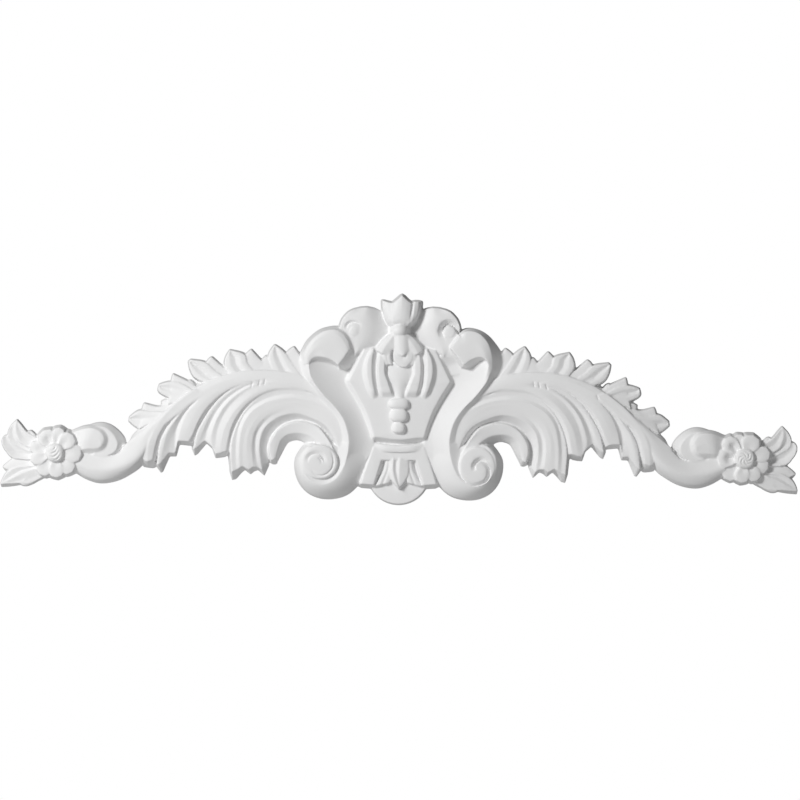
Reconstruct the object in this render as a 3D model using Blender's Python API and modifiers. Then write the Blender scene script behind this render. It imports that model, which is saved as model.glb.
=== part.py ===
"""Scroll onlay: a moulded pediment ornament with a flat back, made to be fixed to a wall or to furniture.

The relief is drawn in millimetres on the plane of the wall: u runs to the right, v runs up and h stands out
from the wall. The forms of the left half are described here and turned over to the right; the few forms
that differ between the halves, and those in the middle, are listed apart. Each carved form is a closed solid
with leaning walls down to the wall plane; the forms are fused into one cast piece, and the back is cut flat.
"""

import math

import bmesh
import bpy
import numpy as np
from mathutils import Matrix, Vector

MM = 0.001
FLOOR = -4.0      # the forms start this far behind the wall plane, and the flat back cuts them off at 0
DRAFT = 0.28      # lean of a side wall for each millimetre of its height
VOXEL = 1.3       # how finely the forms are fused
TRIANGLES = 9100  # aim for the finished piece
TIP_FOOT = 0.5    # height at which the wall below a tip stands upright
ALONG = 26        # steps along a form
ACROSS = 10       # steps across it
FAN_ALONG = 46    # steps along a fan
TIP_ROWS = 3      # how many of those go to the wall below its tips
CURVE_STEPS = 16  # steps from one point of a line to the next
SPANS = 60        # places along a strip where its width is taken
WELD = 0.02       # points closer than this become one
BACK_WIDE = 1.2   # the cutter behind the wall plane, in metres
BACK_DEEP = 0.02
BACK_TALL = 0.5


def dense_points(points):
    p = np.array(points, float)
    if len(p) == 2:
        return p[0] + (p[1] - p[0]) * np.linspace(0, 1, CURVE_STEPS + 1)[:, None]
    ends = np.vstack([2 * p[0] - p[1], p, 2 * p[-1] - p[-2]])
    fine = []
    for a, b, c, d in zip(ends, ends[1:], ends[2:], ends[3:]):
        for t in np.linspace(0, 1, CURVE_STEPS, endpoint=False):
            pull = (2 * a - 5 * b + 4 * c - d) * t * t + (3 * b - a - 3 * c + d) * t**3
            fine.append(0.5 * (2 * b + (c - a) * t + pull))
    fine.append(p[-1])
    return np.array(fine)


def edge_curve(points):
    fine = dense_points(points)
    steps = np.linalg.norm(np.diff(fine, axis=0), axis=1)
    run = np.concatenate([[0], np.cumsum(steps)]) / steps.sum()
    return lambda t: np.array([np.interp(t, run, fine[:, 0]), np.interp(t, run, fine[:, 1])])


def rise_curve(values):
    if isinstance(values, (int, float)):
        return lambda t: values
    fine = dense_points([(value,) for value in values])[:, 0]
    return lambda t: np.interp(t, np.linspace(0, 1, len(fine)), fine)


def raise_form(surface, draft, along=None, across=None):
    # a grid laid on the surface, then walls that lean outwards down to the floor
    form = bmesh.new()
    bmesh.ops.create_grid(form, x_segments=along or ALONG, y_segments=across or ACROSS, size=1)
    for vert in form.verts:
        vert.co = surface((vert.co.x + 1) / 2, vert.co.y)
    bmesh.ops.remove_doubles(form, verts=form.verts, dist=WELD)
    bmesh.ops.dissolve_degenerate(form, edges=form.edges, dist=WELD / 2)
    rim = [edge for edge in form.edges if edge.is_boundary]
    lean = {}
    for edge in rim:
        side = edge.verts[1].co - edge.verts[0].co
        outward = Vector((side.y, -side.x, 0)).normalized()
        middle = (edge.verts[0].co + edge.verts[1].co) / 2
        if outward.dot(edge.link_faces[0].calc_center_median() - middle) > 0:
            outward.negate()
        for vert in edge.verts:
            lean[vert] = lean.get(vert, Vector()) + outward
    skirt = bmesh.ops.extrude_edge_only(form, edges=rim)["geom"]
    feet = [item for item in skirt if isinstance(item, bmesh.types.BMVert)]
    tops = {}
    for foot in feet:
        tops[foot] = next(edge.other_vert(foot) for edge in foot.link_edges if edge.other_vert(foot) in lean)
    for foot, top in tops.items():
        foot.co += lean[top].normalized() * draft * (top.co.z - FLOOR)
        foot.co.z = FLOOR
    bmesh.ops.holes_fill(form, edges=[edge for edge in form.edges if edge.is_boundary], sides=0)
    bmesh.ops.recalc_face_normals(form, faces=form.faces)
    return form


def strip(left, right, left_rise, right_rise=None, bulge=0.0, vein=0.0, outline=False, draft=None,
          vein_width=0.35):
    # a band between two edges: bulge lifts its middle, vein cuts its centre line,
    # and outline says that the edges given are the foot of the wall
    draft = DRAFT if draft is None else draft
    left_edge = edge_curve(left)
    right_edge = edge_curve(right)
    left_level = rise_curve(left_rise)
    right_level = rise_curve(left_rise if right_rise is None else right_rise)
    swelling = rise_curve(bulge)
    spans = [np.linalg.norm(right_edge(t) - left_edge(t)) for t in np.linspace(0, 1, SPANS)]
    widest = max(spans)
    inset = draft * left_level(1.0) if outline else 0.0
    wide_enough = [k for k, span in enumerate(spans) if span / 2 >= inset]
    reach = wide_enough[-1] / (SPANS - 1) if wide_enough else 1.0

    def surface(share, s):
        t = share * reach
        a = left_edge(t)
        b = right_edge(t)
        span = max(np.linalg.norm(b - a), 1e-6)
        swell = min(1.0, 2 * span / widest)
        half = (b - a) / 2 * max(0.0, 1 - 2 * inset / span)
        at = (a + b) / 2 + half * s
        level = (left_level(t) + right_level(t)) / 2
        tilt = (right_level(t) - left_level(t)) / 2 * s * swell
        relief = swelling(t) * (1 - s * s) - vein * max(0.0, 1 - abs(s) / vein_width)
        return Vector((at[0], at[1], level + tilt + relief * swell))

    return raise_form(surface, draft)


def bead(centre, wide, tall, rim, rise, square=2.0, draft=None):
    # a round or oval boss: a level rim with a dome on it
    def surface(t, s):
        angle = math.pi * t
        u = s * math.sin(angle)
        v = math.cos(angle)
        dome = max(0.0, 1 - (abs(u) ** square + abs(v) ** square)) ** 0.5
        return Vector((centre[0] + wide * u, centre[1] + tall * v, rim + rise * dome))

    return raise_form(surface, DRAFT if draft is None else draft)


def fan(rails, feet=None, rounded=False, draft=None, each=4):
    # a sheet through several lines side by side, each with its own heights along it;
    # feet are where the wall at its tips meets the wall behind
    draft = DRAFT if draft is None else draft
    lines = [edge_curve(line) for line, rise in rails]
    levels = [rise_curve(rise) for line, rise in rails]
    last = len(rails) - 1
    brink = 1 - TIP_ROWS / FAN_ALONG if feet else 1.0

    def surface(row, s):
        t = min(row / brink, 1.0)
        place = (s + 1) / 2 * last
        k = min(int(place), last - 1)
        share = place - k
        at = lines[k](t) * (1 - share) + lines[k + 1](t) * share
        if rounded:
            level = rise_curve([rise(t) for rise in levels])(place / last)
        else:
            level = levels[k](t) * (1 - share) + levels[k + 1](t) * share
        if row > brink:
            drop = (row - brink) / (1 - brink)
            foot = np.array(feet[k]) * (1 - share) + np.array(feet[k + 1]) * share
            at = at + (foot - at) * drop
            level -= (level - TIP_FOOT) * drop
        return Vector((at[0], at[1], level))

    return raise_form(surface, draft, FAN_ALONG, each * last)


def mirrored(points):
    return [(-u, v) for u, v in points]


PANEL = {
    "height": 19.5,
    "draft": 0.6,
    "shoulder": (57, 21),
    "neck": ((40, 56), (48.5, 38.5)),
    "waist": ((47, 5), (38, -12), (32, -28), (28, -42)),
}


def draw_panel():
    v = PANEL
    for side in (v["neck"] + (v["shoulder"],), (v["shoulder"],) + v["waist"]):
        yield strip(mirrored(side), side, v["height"], draft=v["draft"])
    sag = ((-28, -41), (0, -44.5), (28, -41))
    yield strip(((-28, -36), (0, -36), (28, -36)), sag, v["height"], draft=v["draft"])


FOOT = {
    "disc_centre": (0, -83),
    "disc_radius": 34.2,
    "disc_height": 8,
    "band_height": 17,
    "frame_height": 15,
    "leaf_height": 12,
    "middle_leaf_height": 15,
}


def draw_foot():
    v = FOOT
    yield bead(v["disc_centre"], v["disc_radius"], v["disc_radius"], v["disc_height"], 0.0, draft=0.2)
    upper = ((-32, -47), (-17, -50.3), (0, -51.3), (17, -50.3), (32, -47))
    lower = ((-29, -56), (-14, -58.3), (0, -58.8), (14, -58.3), (29, -56))
    band = v["band_height"]
    yield strip(upper, lower, (band - 5, band - 1.2, band - 0.8, band - 1.2, band - 5),
                (band - 4, band - 0.5, band, band - 0.5, band - 4), bulge=0.8, draft=0.15)
    yield strip(((-29, -54), (0, -56), (29, -54)), ((-22, -67.5), (0, -67.5), (22, -67.5)),
                v["frame_height"])
    for side in (-1, 1):
        outer = ((28 * side, -53), (36 * side, -74), (42.5 * side, -94.5))
        inner = ((17 * side, -57), (20.5 * side, -70), (28 * side, -95.5))
        yield strip(outer, inner, v["frame_height"], draft=0.35)
        outer = ((14 * side, -66), (17 * side, -80), (26 * side, -97))
        inner = ((6 * side, -66), (8 * side, -80), (10 * side, -93))
        yield strip(outer, inner, v["leaf_height"], v["leaf_height"] + 0.5, bulge=0.8, vein=1.2)
    leaf = v["middle_leaf_height"]
    yield fan(((((-9.5, -66), (-10, -80), (-7, -91), (0.3, -99.3)), leaf - 1),
               (((-6, -66), (-6.5, -79), (-4, -90.5), (0.4, -99.3)), leaf + 1),
               (((-2.5, -66), (-3, -78), (-1, -90), (0.5, -99.3)),
                (leaf - 1.5, leaf - 1.5, leaf - 1, leaf - 1)),
               (((1, -66), (0.5, -78), (0.5, -90), (0.6, -99.3)), (leaf + 1, leaf + 1, leaf, leaf - 1)),
               (((10.5, -66), (11, -80), (7.5, -90), (0.8, -99.3)), leaf - 1)), draft=0.25)


VASE = {
    "height": 20.5,
    "swell": 2,
    "panel_height": 19.5,
    "fold_height": 25,
    # each bead: height of its centre, half width, half height, rise
    "beads": ((-4.5, 12, 6.5, 5.5), (-17.5, 10.5, 8, 5.5), (-32, 8, 6.5, 5)),
}


def draw_vase():
    v = VASE
    left = ((-14.5, 42), (-12.5, 34), (-11.5, 27), (-7, 17), (-4, 8), (-3.3, 0))
    right = ((16, 42), (15, 34), (13.5, 27), (8, 17), (5, 8), (4.2, 0))
    yield strip(left, right, (20, 21, 21.5, 21, 20.5, 20.5), bulge=v["swell"], draft=0.2)
    for centre, wide, tall, rise in v["beads"]:
        yield bead((0, centre), wide, tall, v["height"] + 0.5, rise, square=2.6, draft=0.25)
    low = v["panel_height"]
    high = v["fold_height"]
    along = (high - 2, high - 0.5, high, high, high, high, high - 0.5, high - 1, low)
    outer = ((((32, 58), (38.5, 48), (42.5, 36), (42, 25), (39, 14), (35, 5), (33.5, 1)), low - 1),
             (((30.5, 57.5), (35.5, 46), (37, 36), (36.3, 26), (33, 14), (30, 6), (29, 1)), along),
             (((29, 57), (31, 46), (31.5, 36), (31, 26), (29.5, 16), (27.5, 7), (26.5, 2)), along),
             (((26.5, 53), (26.2, 44), (26, 36), (26, 26), (25, 14), (23, 7), (22, 2)), low - 1))
    inner = ((((25, 52), (26.3, 45), (26.6, 37), (26.4, 25), (25, 14), (23, 7), (21.5, 2.5)), low - 0.5),
             (((22, 52), (23.5, 44), (24, 37), (23.5, 26), (21.5, 15), (19.5, 8), (18, 3)), along),
             (((18.5, 50), (17.5, 44), (17, 37.5), (17, 30), (13, 19), (9.5, 9), (8, 3)), along),
             (((16.5, 50), (15, 44), (14, 37.5), (13.5, 30), (9.5, 19), (6.5, 9), (5.5, 3)), low))
    for rails in (outer, inner):
        yield fan(rails, draft=0.2)
        yield fan([(mirrored(line), rise) for line, rise in rails], draft=0.2)


CROWN = {
    "ball_height": 30.5,
    "petal_height": 26,
    "low_petal_height": 24,
}

# The crown from its left petal to its right one: line from the ball to the top edge, and heights along it
CROWN_RAILS = (
    (((-9.5, 81), (-14.5, 88), (-18, 96), (-19.5, 104), (-20, 112)), (12, 14, 16, 17, 17.5)),
    (((-7.5, 81), (-11, 88), (-13.5, 96), (-14.5, 104), (-14.5, 110)), (18, 21.5, 23, 21.5, 21)),
    (((-5.5, 81), (-7.5, 88), (-8.8, 96), (-9, 103), (-9, 108.8)), (20, 24.5, 25, 23, 22.5)),
    (((-5, 81), (-6.5, 88), (-7.6, 96), (-7.6, 103), (-7.5, 109.2)), (20.5, 25.5, 26.5, 26, 25.5)),
    (((-2.5, 81), (-3, 89), (-3.2, 98), (-3, 107), (-2.5, 113.2)), (21.5, 27.5, 28.4, 27.8, 27)),
    (((0.5, 81), (1, 89), (1.5, 99), (2, 109), (2.3, 117.5)), (22, 28, 29, 28, 27.2)),
    (((3.5, 81), (5, 89), (6.5, 98), (7.3, 106), (7.8, 112.2)), (21.5, 27.5, 28.4, 27.6, 26.8)),
    (((6, 81), (8.5, 89), (10.5, 97), (11.5, 103), (12, 108)), (20.5, 26, 26.8, 26.2, 25.5)),
    (((7, 81), (10, 88), (12, 94), (12.7, 98), (12.9, 101.5)), (20, 24.5, 24.5, 22.5, 21)),
    (((9, 81), (13.5, 88), (16.5, 96), (17.5, 103), (17.5, 109.5)), (16.5, 21.5, 22.5, 22.8, 23)),
    (((10.5, 81), (15.5, 88.5), (19, 96), (20.5, 103), (20.7, 109.8)), (14, 18.5, 20.5, 21.5, 22)),
    (((11.5, 81), (18.5, 89), (22, 97), (23.2, 103), (23.7, 110)), (12, 14, 16, 17, 17.5)),
)


def draw_crown():
    v = CROWN
    high = v["petal_height"]
    low = v["low_petal_height"]
    yield fan(CROWN_RAILS, draft=0.12)
    yield bead((0, 78), 9.3, 8.3, 21, v["ball_height"] - 21)
    for side in (-1, 1):
        top = (((9.5 * side, 74), (17 * side, 68), (23 * side, 61), (26 * side, 55.5)),
               (high - 2, high - 1, high - 2))
        middle = (((7 * side, 73), (12 * side, 66), (17 * side, 59), (20.5 * side, 52)),
                  (high, high + 1, high))
        bottom = (((4 * side, 72), (5 * side, 65), (6.5 * side, 58.5), (14.5 * side, 50.8)),
                  (high - 1, high - 0.5, high - 1.5))
        yield fan((top, middle, bottom), draft=0.16)
        lobe = (((16.5 * side, 56), (18.5 * side, 50), (17.5 * side, 44), (15.5 * side, 39.5)),
                ((9 * side, 56), (10 * side, 50), (9.5 * side, 44), (8 * side, 39.8)))
        yield strip(lobe[0], lobe[1], (low, low, low - 0.5), bulge=0.8, vein=0.8, draft=0.1)
    yield fan(((((-5, 72), (-5.5, 64), (-3.5, 56.5), (3.5, 50)), high + 0.5),
               (((1.5, 72), (1.8, 64), (2.5, 57), (3.8, 49.8)), high + 2.5),
               (((9, 72), (9.3, 64), (9, 57), (4.3, 50)), high + 0.5)), draft=0.12)
    yield fan(((((-6, 58), (-7, 51), (-6, 44), (0, 38)), high - 0.8),
               (((-2, 54), (-2, 49), (-0.5, 43.5), (2.5, 37.3)), high - 0.3),
               (((3.5, 52), (4.5, 47), (5, 42.5), (5, 37)), (high - 2.5, high - 1, high, high - 0.3)),
               (((9.5, 54), (9.5, 49), (9, 43.5), (7.3, 37.3)), high - 0.3),
               (((14, 57), (14.3, 51), (13.5, 44), (9, 38)), high - 0.8)), draft=0.1)


SCROLL = {
    "back_height": 20,
    "arch_height": 28,
    "crest_height": 24,
    "ribbon_low": 11,
    "rim_low": 7,
    "wall_draft": 0.12,
}


def draw_back_scroll():
    v = SCROLL
    high = v["back_height"]
    outline = ((-50, 49), (-57, 59), (-64, 71), (-67.3, 80), (-65.5, 88.5), (-62, 94), (-57, 98.8),
               (-52, 101.3))
    face = ((-49, 51), (-52.5, 60), (-54.5, 70), (-55.5, 80), (-54, 88), (-51, 94), (-47.5, 99),
            (-44.5, 103.5))
    ridge = ((-48, 53), (-43, 63), (-39.5, 73), (-38.5, 83), (-38.5, 90), (-38.3, 95), (-37.8, 99.5),
             (-37, 104))
    roll = ((-44, 52), (-34, 61), (-28, 72), (-27, 82), (-28, 89), (-29, 94), (-29.3, 98.5), (-29.3, 102.8))
    foot = ((-38, 49), (-24, 57), (-13, 70), (-11, 80), (-15, 88), (-18, 93), (-20.5, 97), (-22, 99.8))
    top = (high, high, high, high, high, high, high - 1, high - 3.5)
    yield fan(((outline, high - 1), (face, top), (ridge, top), (roll, [rise - 3.5 for rise in top]),
               (foot, high - 12)), rounded=True, draft=v["wall_draft"])


def draw_hook():
    v = SCROLL
    high = v["arch_height"]
    start = v["crest_height"]
    foot = ((-113, 38), (-112.5, 50), (-109, 59), (-104.5, 66.5), (-98, 73), (-90, 78.5), (-80, 81.2),
            (-70, 81.5),
            (-62, 77), (-56, 68), (-52.5, 57))
    shoulder = ((-108, 39), (-108, 50), (-105, 58), (-100.5, 65), (-94.5, 71), (-86.5, 76), (-77.5, 78.5),
                (-69.8, 77.5), (-63.2, 72.8), (-58, 65), (-55, 55.8))
    edge = ((-104.5, 40), (-105, 50), (-102, 57), (-97.5, 63.5), (-91.5, 69), (-84, 73), (-76, 74.5),
            (-70, 73),
            (-65, 68), (-61, 61.5), (-58, 54.5))
    face = ((-103, 40), (-102, 48), (-99, 53), (-94, 58), (-88, 61.5), (-81, 63.5), (-75, 63),
            (-70.5, 60.5),
            (-67, 57), (-63.5, 53), (-60.5, 50.5))
    inner = ((-101.5, 40), (-100.5, 43), (-98, 46), (-94, 47.8), (-88, 48), (-82, 46.8), (-77, 44.8),
             (-73, 42.3),
             (-70.5, 40), (-69.8, 39.3), (-69, 38.7))
    under = ((-101, 39), (-99, 39.3), (-96, 39.5), (-92, 39.7), (-88, 40), (-83, 40), (-79, 40), (-75, 39),
             (-71.5, 38), (-70, 37.3), (-68.7, 36.5))
    yield fan(((foot, (6, 6, 6, 8, 14, 19.5, 20.5)), (shoulder, (18, 23.5, 25, 25.5, 25.5, 25.5, 25.5)),
               (edge, (start, 26, high - 0.8, high - 0.5, high - 0.5, high - 0.5, high - 0.5)),
               (face, (start, 27, high, high, high, high)),
               (inner, (start, 26, high - 0.5, high - 0.5, high - 0.5)),
               (under, (16, 12.5, 12, 12, 12.5, 14))), draft=v["wall_draft"])
    yield bead((-51.5, 77), 5.5, 6.3, v["back_height"], 1.2)
    lip = ((-69, 38.7), (-65.5, 43), (-61.5, 48.5), (-58, 54.5))
    lip_foot = ((-67.8, 36.6), (-63, 41), (-58.5, 46.5), (-54.3, 55.8))
    cut_foot = ((-68, 34.3), (-56.5, 32.3), (-45.5, 43.5), (-42.5, 50), (-47, 57))
    yield fan(((lip, high - 0.8), (lip_foot, high - 5), (cut_foot, (13, 9, 9.5, 12, 15))),
              draft=v["wall_draft"])


def draw_right_hook():
    # drawn on the left like the rest, and turned over to the right
    v = SCROLL
    high = v["arch_height"]
    start = v["crest_height"]
    foot = ((-119.5, 30), (-119.5, 42), (-115, 53), (-108.5, 63), (-100, 72.5), (-90.5, 78.3),
            (-80.5, 80.6),
            (-73, 79.6), (-67.5, 75.5), (-60.5, 67), (-56, 60.3))
    shoulder = ((-103.2, 34), (-104, 44), (-102.5, 55), (-98.5, 65.5), (-92, 73.2), (-85.5, 76.8),
                (-79, 78),
                (-73.2, 77), (-68.5, 73.3), (-62, 65.5), (-57.3, 59.6))
    face = ((-101, 34), (-100.5, 43), (-98, 50), (-94, 57), (-89, 62), (-83, 65), (-78, 66), (-74, 65),
            (-70, 62),
            (-64.5, 58), (-60, 55.5))
    inner = ((-99.5, 38), (-98, 44), (-95.5, 47.5), (-92, 48.9), (-88.5, 48.9), (-85.4, 48.2), (-82, 46.8),
             (-78.5, 44.9), (-75.5, 42.5), (-73.7, 40.8), (-72, 39.6))
    under = ((-98.5, 38), (-97, 43), (-94.5, 44.8), (-91, 42.8), (-88, 40.4), (-85.2, 37.8), (-82, 35.4),
             (-79, 34.8), (-76, 35.2), (-74, 35.6), (-71.5, 36.5))
    yield fan(((foot, (8, 8, 8, 10, 14, 19.5, 20.5)),
               (shoulder, (start, 25.5, 27, high - 0.5, high - 0.5, high - 0.5)),
               (face, (start, 27, high, high, high, high)),
               (inner, (start, 26, high - 0.5, high - 0.5, high - 0.5)),
               (under, (start - 2, 18, 13, 12, 12.5, 14))), draft=v["wall_draft"])
    lip = ((-72, 39.6), (-67.5, 46), (-63, 52), (-58, 58.5))
    lip_foot = ((-70, 36.5), (-64.5, 43), (-59.5, 49.5), (-54, 57.5))
    yield fan(((lip, high - 0.6), (lip_foot, (16, 14, 13, 13))), draft=v["wall_draft"])
    yield strip(((-44, 26), (-46, 44), (-48, 59)), ((-76, 30), (-68, 44), (-60, 57)), 12.5, 13.5)
    yield bead((-56.3, 77.3), 5.8, 6.3, v["back_height"] + 0.3, 0.8, draft=0.1)


def draw_ribbon():
    v = SCROLL
    high = v["crest_height"]
    low = v["ribbon_low"]
    rim = v["rim_low"]
    crest = ((-102.5, 44), (-101, 30), (-96.5, 19), (-85, 4), (-73, -8), (-64, -20), (-59, -32),
             (-56.5, -45),
             (-57, -58), (-59.5, -68))
    foot = ((-113, 44), (-110, 27), (-101, 14), (-88, -1), (-78, -11), (-69, -22), (-64, -35), (-62.5, -48),
            (-64, -60), (-66, -68))
    inner = ((-60, 42), (-56, 32), (-54, 22), (-44, 5), (-37, -8), (-33, -20), (-29, -32), (-28, -45),
             (-31, -58),
             (-37, -68))
    yield strip(foot, crest, (12, 13, 17, 20, 22, 23), high, draft=0.2)
    yield strip(crest, inner, (high - 1, high, high, high, high, high),
                (low + 1.5, low, low, low + 1, low + 3, low + 3.5),
                bulge=-2.2)
    turn = ((-56.5, -50), (-58, -63), (-61, -74), (-66.5, -84), (-74, -91.5), (-84, -95.5), (-94, -94),
            (-102, -88.5),
            (-107.5, -80), (-109, -70), (-106, -60), (-99, -51.5))
    under = ((-29, -50), (-33, -63), (-38, -78), (-47, -96), (-58, -106.5), (-72, -111), (-87, -111),
             (-100, -106), (-109.5, -96.5), (-115, -83), (-115, -68), (-108, -57))
    yield strip(turn, under, high, (low + 3.5, low + 2, 10, rim, rim, rim, 9, 12, 18),
                bulge=(-2.2, 0, 2.5, 3.2, 3.2, 3.2, 3), draft=0.2)


def draw_volute():
    high = SCROLL["crest_height"]
    yield bead((-84, -71), 25, 24, high, 0.0)
    yield bead((-87.5, -73), 14.5, 14.5, high + 1.5, 0.8, draft=0.35)


def draw_right_volute():
    high = SCROLL["crest_height"]
    yield bead((-84, -71), 25, 24, high, 0.0)
    yield bead((-86.5, -74), 15.5, 20, high + 1.2, 0.6, draft=0.4)


STEM = {
    "height": 18.5,
    "upper_edge": 16.5,
    "upper": ((-100, 20), (-112, 26), (-128, 30), (-155, 32), (-185, 29), (-215, 19), (-240, 4),
              (-262, -14),
              (-288, -37)),
    "lower": ((-84, 0), (-98, 7), (-118, 13.5), (-140, 15.5), (-165, 17.5), (-190, 14), (-215, 5),
              (-238, -9),
              (-268, -34)),
}

# The stem's far end, from its upper side over the crest to the rolled underside: line and heights along it
STEM_END_RAILS = (
    (((-240, 4), (-262, -14), (-275, -25), (-290, -38), (-300, -46), (-308, -55), (-318, -64.5),
      (-332, -66.5),
      (-350, -64), (-368, -62)), (16.5, 16.5, 16.5, 15, 14, 14)),
    (((-240, 0), (-264, -19), (-278, -32), (-293, -50), (-305, -62), (-318, -70), (-332, -73),
      (-350, -70.5),
      (-368, -67)), (18.3, 18.5, 18.3, 16.5, 15, 15)),
    (((-240, -4), (-264, -24), (-279, -43), (-289, -59), (-300, -70.5), (-315, -78), (-330, -81),
      (-348, -79.5),
      (-368, -73)), (18.3, 18.5, 18.5, 18, 17, 16)),
    (((-240, -6), (-265, -28), (-280, -48), (-289, -65), (-301, -77), (-317, -84.5), (-333, -87.5),
      (-350, -85),
      (-368, -77)), (18, 18, 17.5, 16, 15, 14)),
    (((-240, -8), (-266, -31), (-281, -52), (-289, -70), (-302, -82), (-318, -90), (-335, -93),
      (-351, -89.5),
      (-368, -80)), (17, 16, 13.5, 11.5, 11, 11)),
    (((-240, -10), (-267, -33), (-282, -55), (-289, -75), (-302, -86), (-318, -94), (-336, -96.8),
      (-352, -92.5),
      (-368, -83)), (15, 12, 7, 4, 4, 5)),
)


def draw_stem():
    v = STEM
    high = v["height"]
    yield strip(v["upper"], v["lower"], v["upper_edge"], high, bulge=0.9)
    yield fan(STEM_END_RAILS, rounded=True, draft=0.1)


CURL = {
    "rim_height": 6,
    "band_height": 14.5,
    "tongue_height": 19,
}


def draw_end_curl():
    v = CURL
    band = v["band_height"]
    high = v["tongue_height"]
    rim = ((-366, -40), (-355, -34.5), (-347, -30.5), (-338, -28.5), (-330, -29.3), (-322, -33),
           (-314, -40),
           (-309, -48), (-310, -57), (-316, -65), (-326, -69))
    outer = ((-366, -43), (-356, -38), (-348, -34.5), (-339, -32.8), (-331, -34), (-324.5, -38.5),
             (-319.5, -45),
             (-317, -52), (-319, -59.5), (-325, -64), (-333, -67))
    inner = ((-366, -50), (-356, -45), (-348, -41), (-340, -39), (-334, -41), (-329.5, -45), (-327, -51),
             (-327.5, -57), (-331, -61), (-337, -63), (-344, -64))
    yield fan(((rim, v["rim_height"]), (outer, (band - 1, band - 0.5, band, band)), (inner, band)),
              draft=0.15)
    yield fan(((inner, band), (((-366, -58), (-350, -52), (-338, -58)), band)), draft=0.1)
    wall_top = ((-368, -37), (-356, -32.5), (-346, -31.5), (-336, -33.5), (-329.5, -39), (-326.5, -47),
                (-328.5, -56))
    top = ((-368, -40), (-356, -36), (-347, -34.8), (-339, -36.8), (-334, -41.5), (-332, -47),
           (-333.5, -53))
    middle = ((-368, -52), (-356, -49), (-347, -47), (-341, -47), (-338, -48), (-336, -49.5), (-335, -53))
    base = ((-368, -61), (-358, -59), (-350, -57.5), (-343, -57.5), (-339, -57), (-336, -55.5),
            (-334, -53.5))
    wall_base = ((-368, -66), (-358, -65), (-350, -63.5), (-343, -63.5), (-338, -63), (-333, -61),
                 (-329, -57.5))
    rise = (11, 15, 18, high, high, high, high)
    yield fan(((wall_top, (6, 9, 12, 13.5, 13.5)), (top, rise), (middle, [level + 0.8 for level in rise]),
               (base, rise), (wall_base, (9, 12, 13, 13, 13))), draft=0.1)


# Each upper leaf: left edge and right edge from root to tip, how far it stands over its neighbours,
# depth of its vein
UPPER_LEAF = {
    "heights": (15, 12.5, 10.5, 9),    # from root to tip
    "swell": 0.5,
    "draft": 0.16,
    "vein_width": 0.5,
    "leaves": (
        (((-131, 24), (-129, 42), (-128, 53), (-119, 60.5)),
         ((-104, 24), (-108, 40), (-112, 50), (-119, 60.5)), 0, 0),
        (((-141, 26), (-147, 40), (-148.5, 51), (-141.5, 62.5)),
         ((-110, 26), (-120, 40), (-129, 53.5), (-141.5, 62.5)),
         1, 2),
        (((-162, 28), (-157.5, 38), (-155, 45), (-151, 49.5)),
         ((-134, 28), (-139, 38), (-143, 45), (-151, 49.5)),
         0.5, 0),
        (((-182, 26), (-176, 40), (-174, 50), (-167.5, 57)),
         ((-146, 26), (-152, 40), (-156.5, 45), (-167.5, 57)), 0, 0),
        (((-190, 26), (-198, 37), (-197, 47), (-192, 55.5)),
         ((-160, 28), (-170, 40), (-174, 50.5), (-192, 55.5)),
         1, 2),
        (((-222, 14), (-219, 30), (-218, 42), (-212, 48)),
         ((-186, 22), (-193, 32), (-199.5, 37), (-212, 48)), 0, 0),
        (((-215, 15), (-231, 22), (-236.5, 34), (-237.5, 43)),
         ((-195, 24), (-207, 32), (-218, 41.5), (-237.5, 43)),
         1, 2),
        (((-243, 2), (-240, 12), (-239, 17), (-237, 21.5)),
         ((-222, 8), (-228, 14), (-232, 19), (-237, 21.5)), 0.5, 0),
        (((-262, -8), (-258, 10), (-258, 20), (-256, 28.5)),
         ((-224, 8), (-232, 16), (-239, 20.5), (-256, 28.5)),
         0, 0),
        (((-240, -2), (-258, -1), (-272, 6), (-271, 15)),
         ((-231, 10), (-246, 18), (-258, 19.5), (-271, 16)), 1, 2),
        (((-272, -22), (-266, -14), (-267, -11), (-270, -6)),
         ((-248, -8), (-256, -3), (-263, 0), (-270, -6)),
         0.5, 0),
        (((-292, -34), (-289, -20), (-288.5, -12), (-287, -3)),
         ((-252, -12), (-262, -6), (-270, -5), (-287, -3)),
         0, 0),
        (((-274, -28), (-289, -31), (-297, -31), (-306, -23.5)),
         ((-264, -14), (-280, -13), (-292, -12), (-306, -22.5)),
         1, 2),
        (((-310, -50), (-303, -42), (-301, -40), (-301, -36)),
         ((-284, -36), (-290, -32), (-295, -30), (-301, -36)),
         0.5, 0),
    ),
}


def draw_upper_leaves():
    v = UPPER_LEAF
    for left, right, over, vein in v["leaves"]:
        heights = [height + over for height in v["heights"]]
        yield strip(left, right, heights, bulge=v["swell"], vein=vein, outline=True,
                    vein_width=v["vein_width"],
                    draft=v["draft"])


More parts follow.
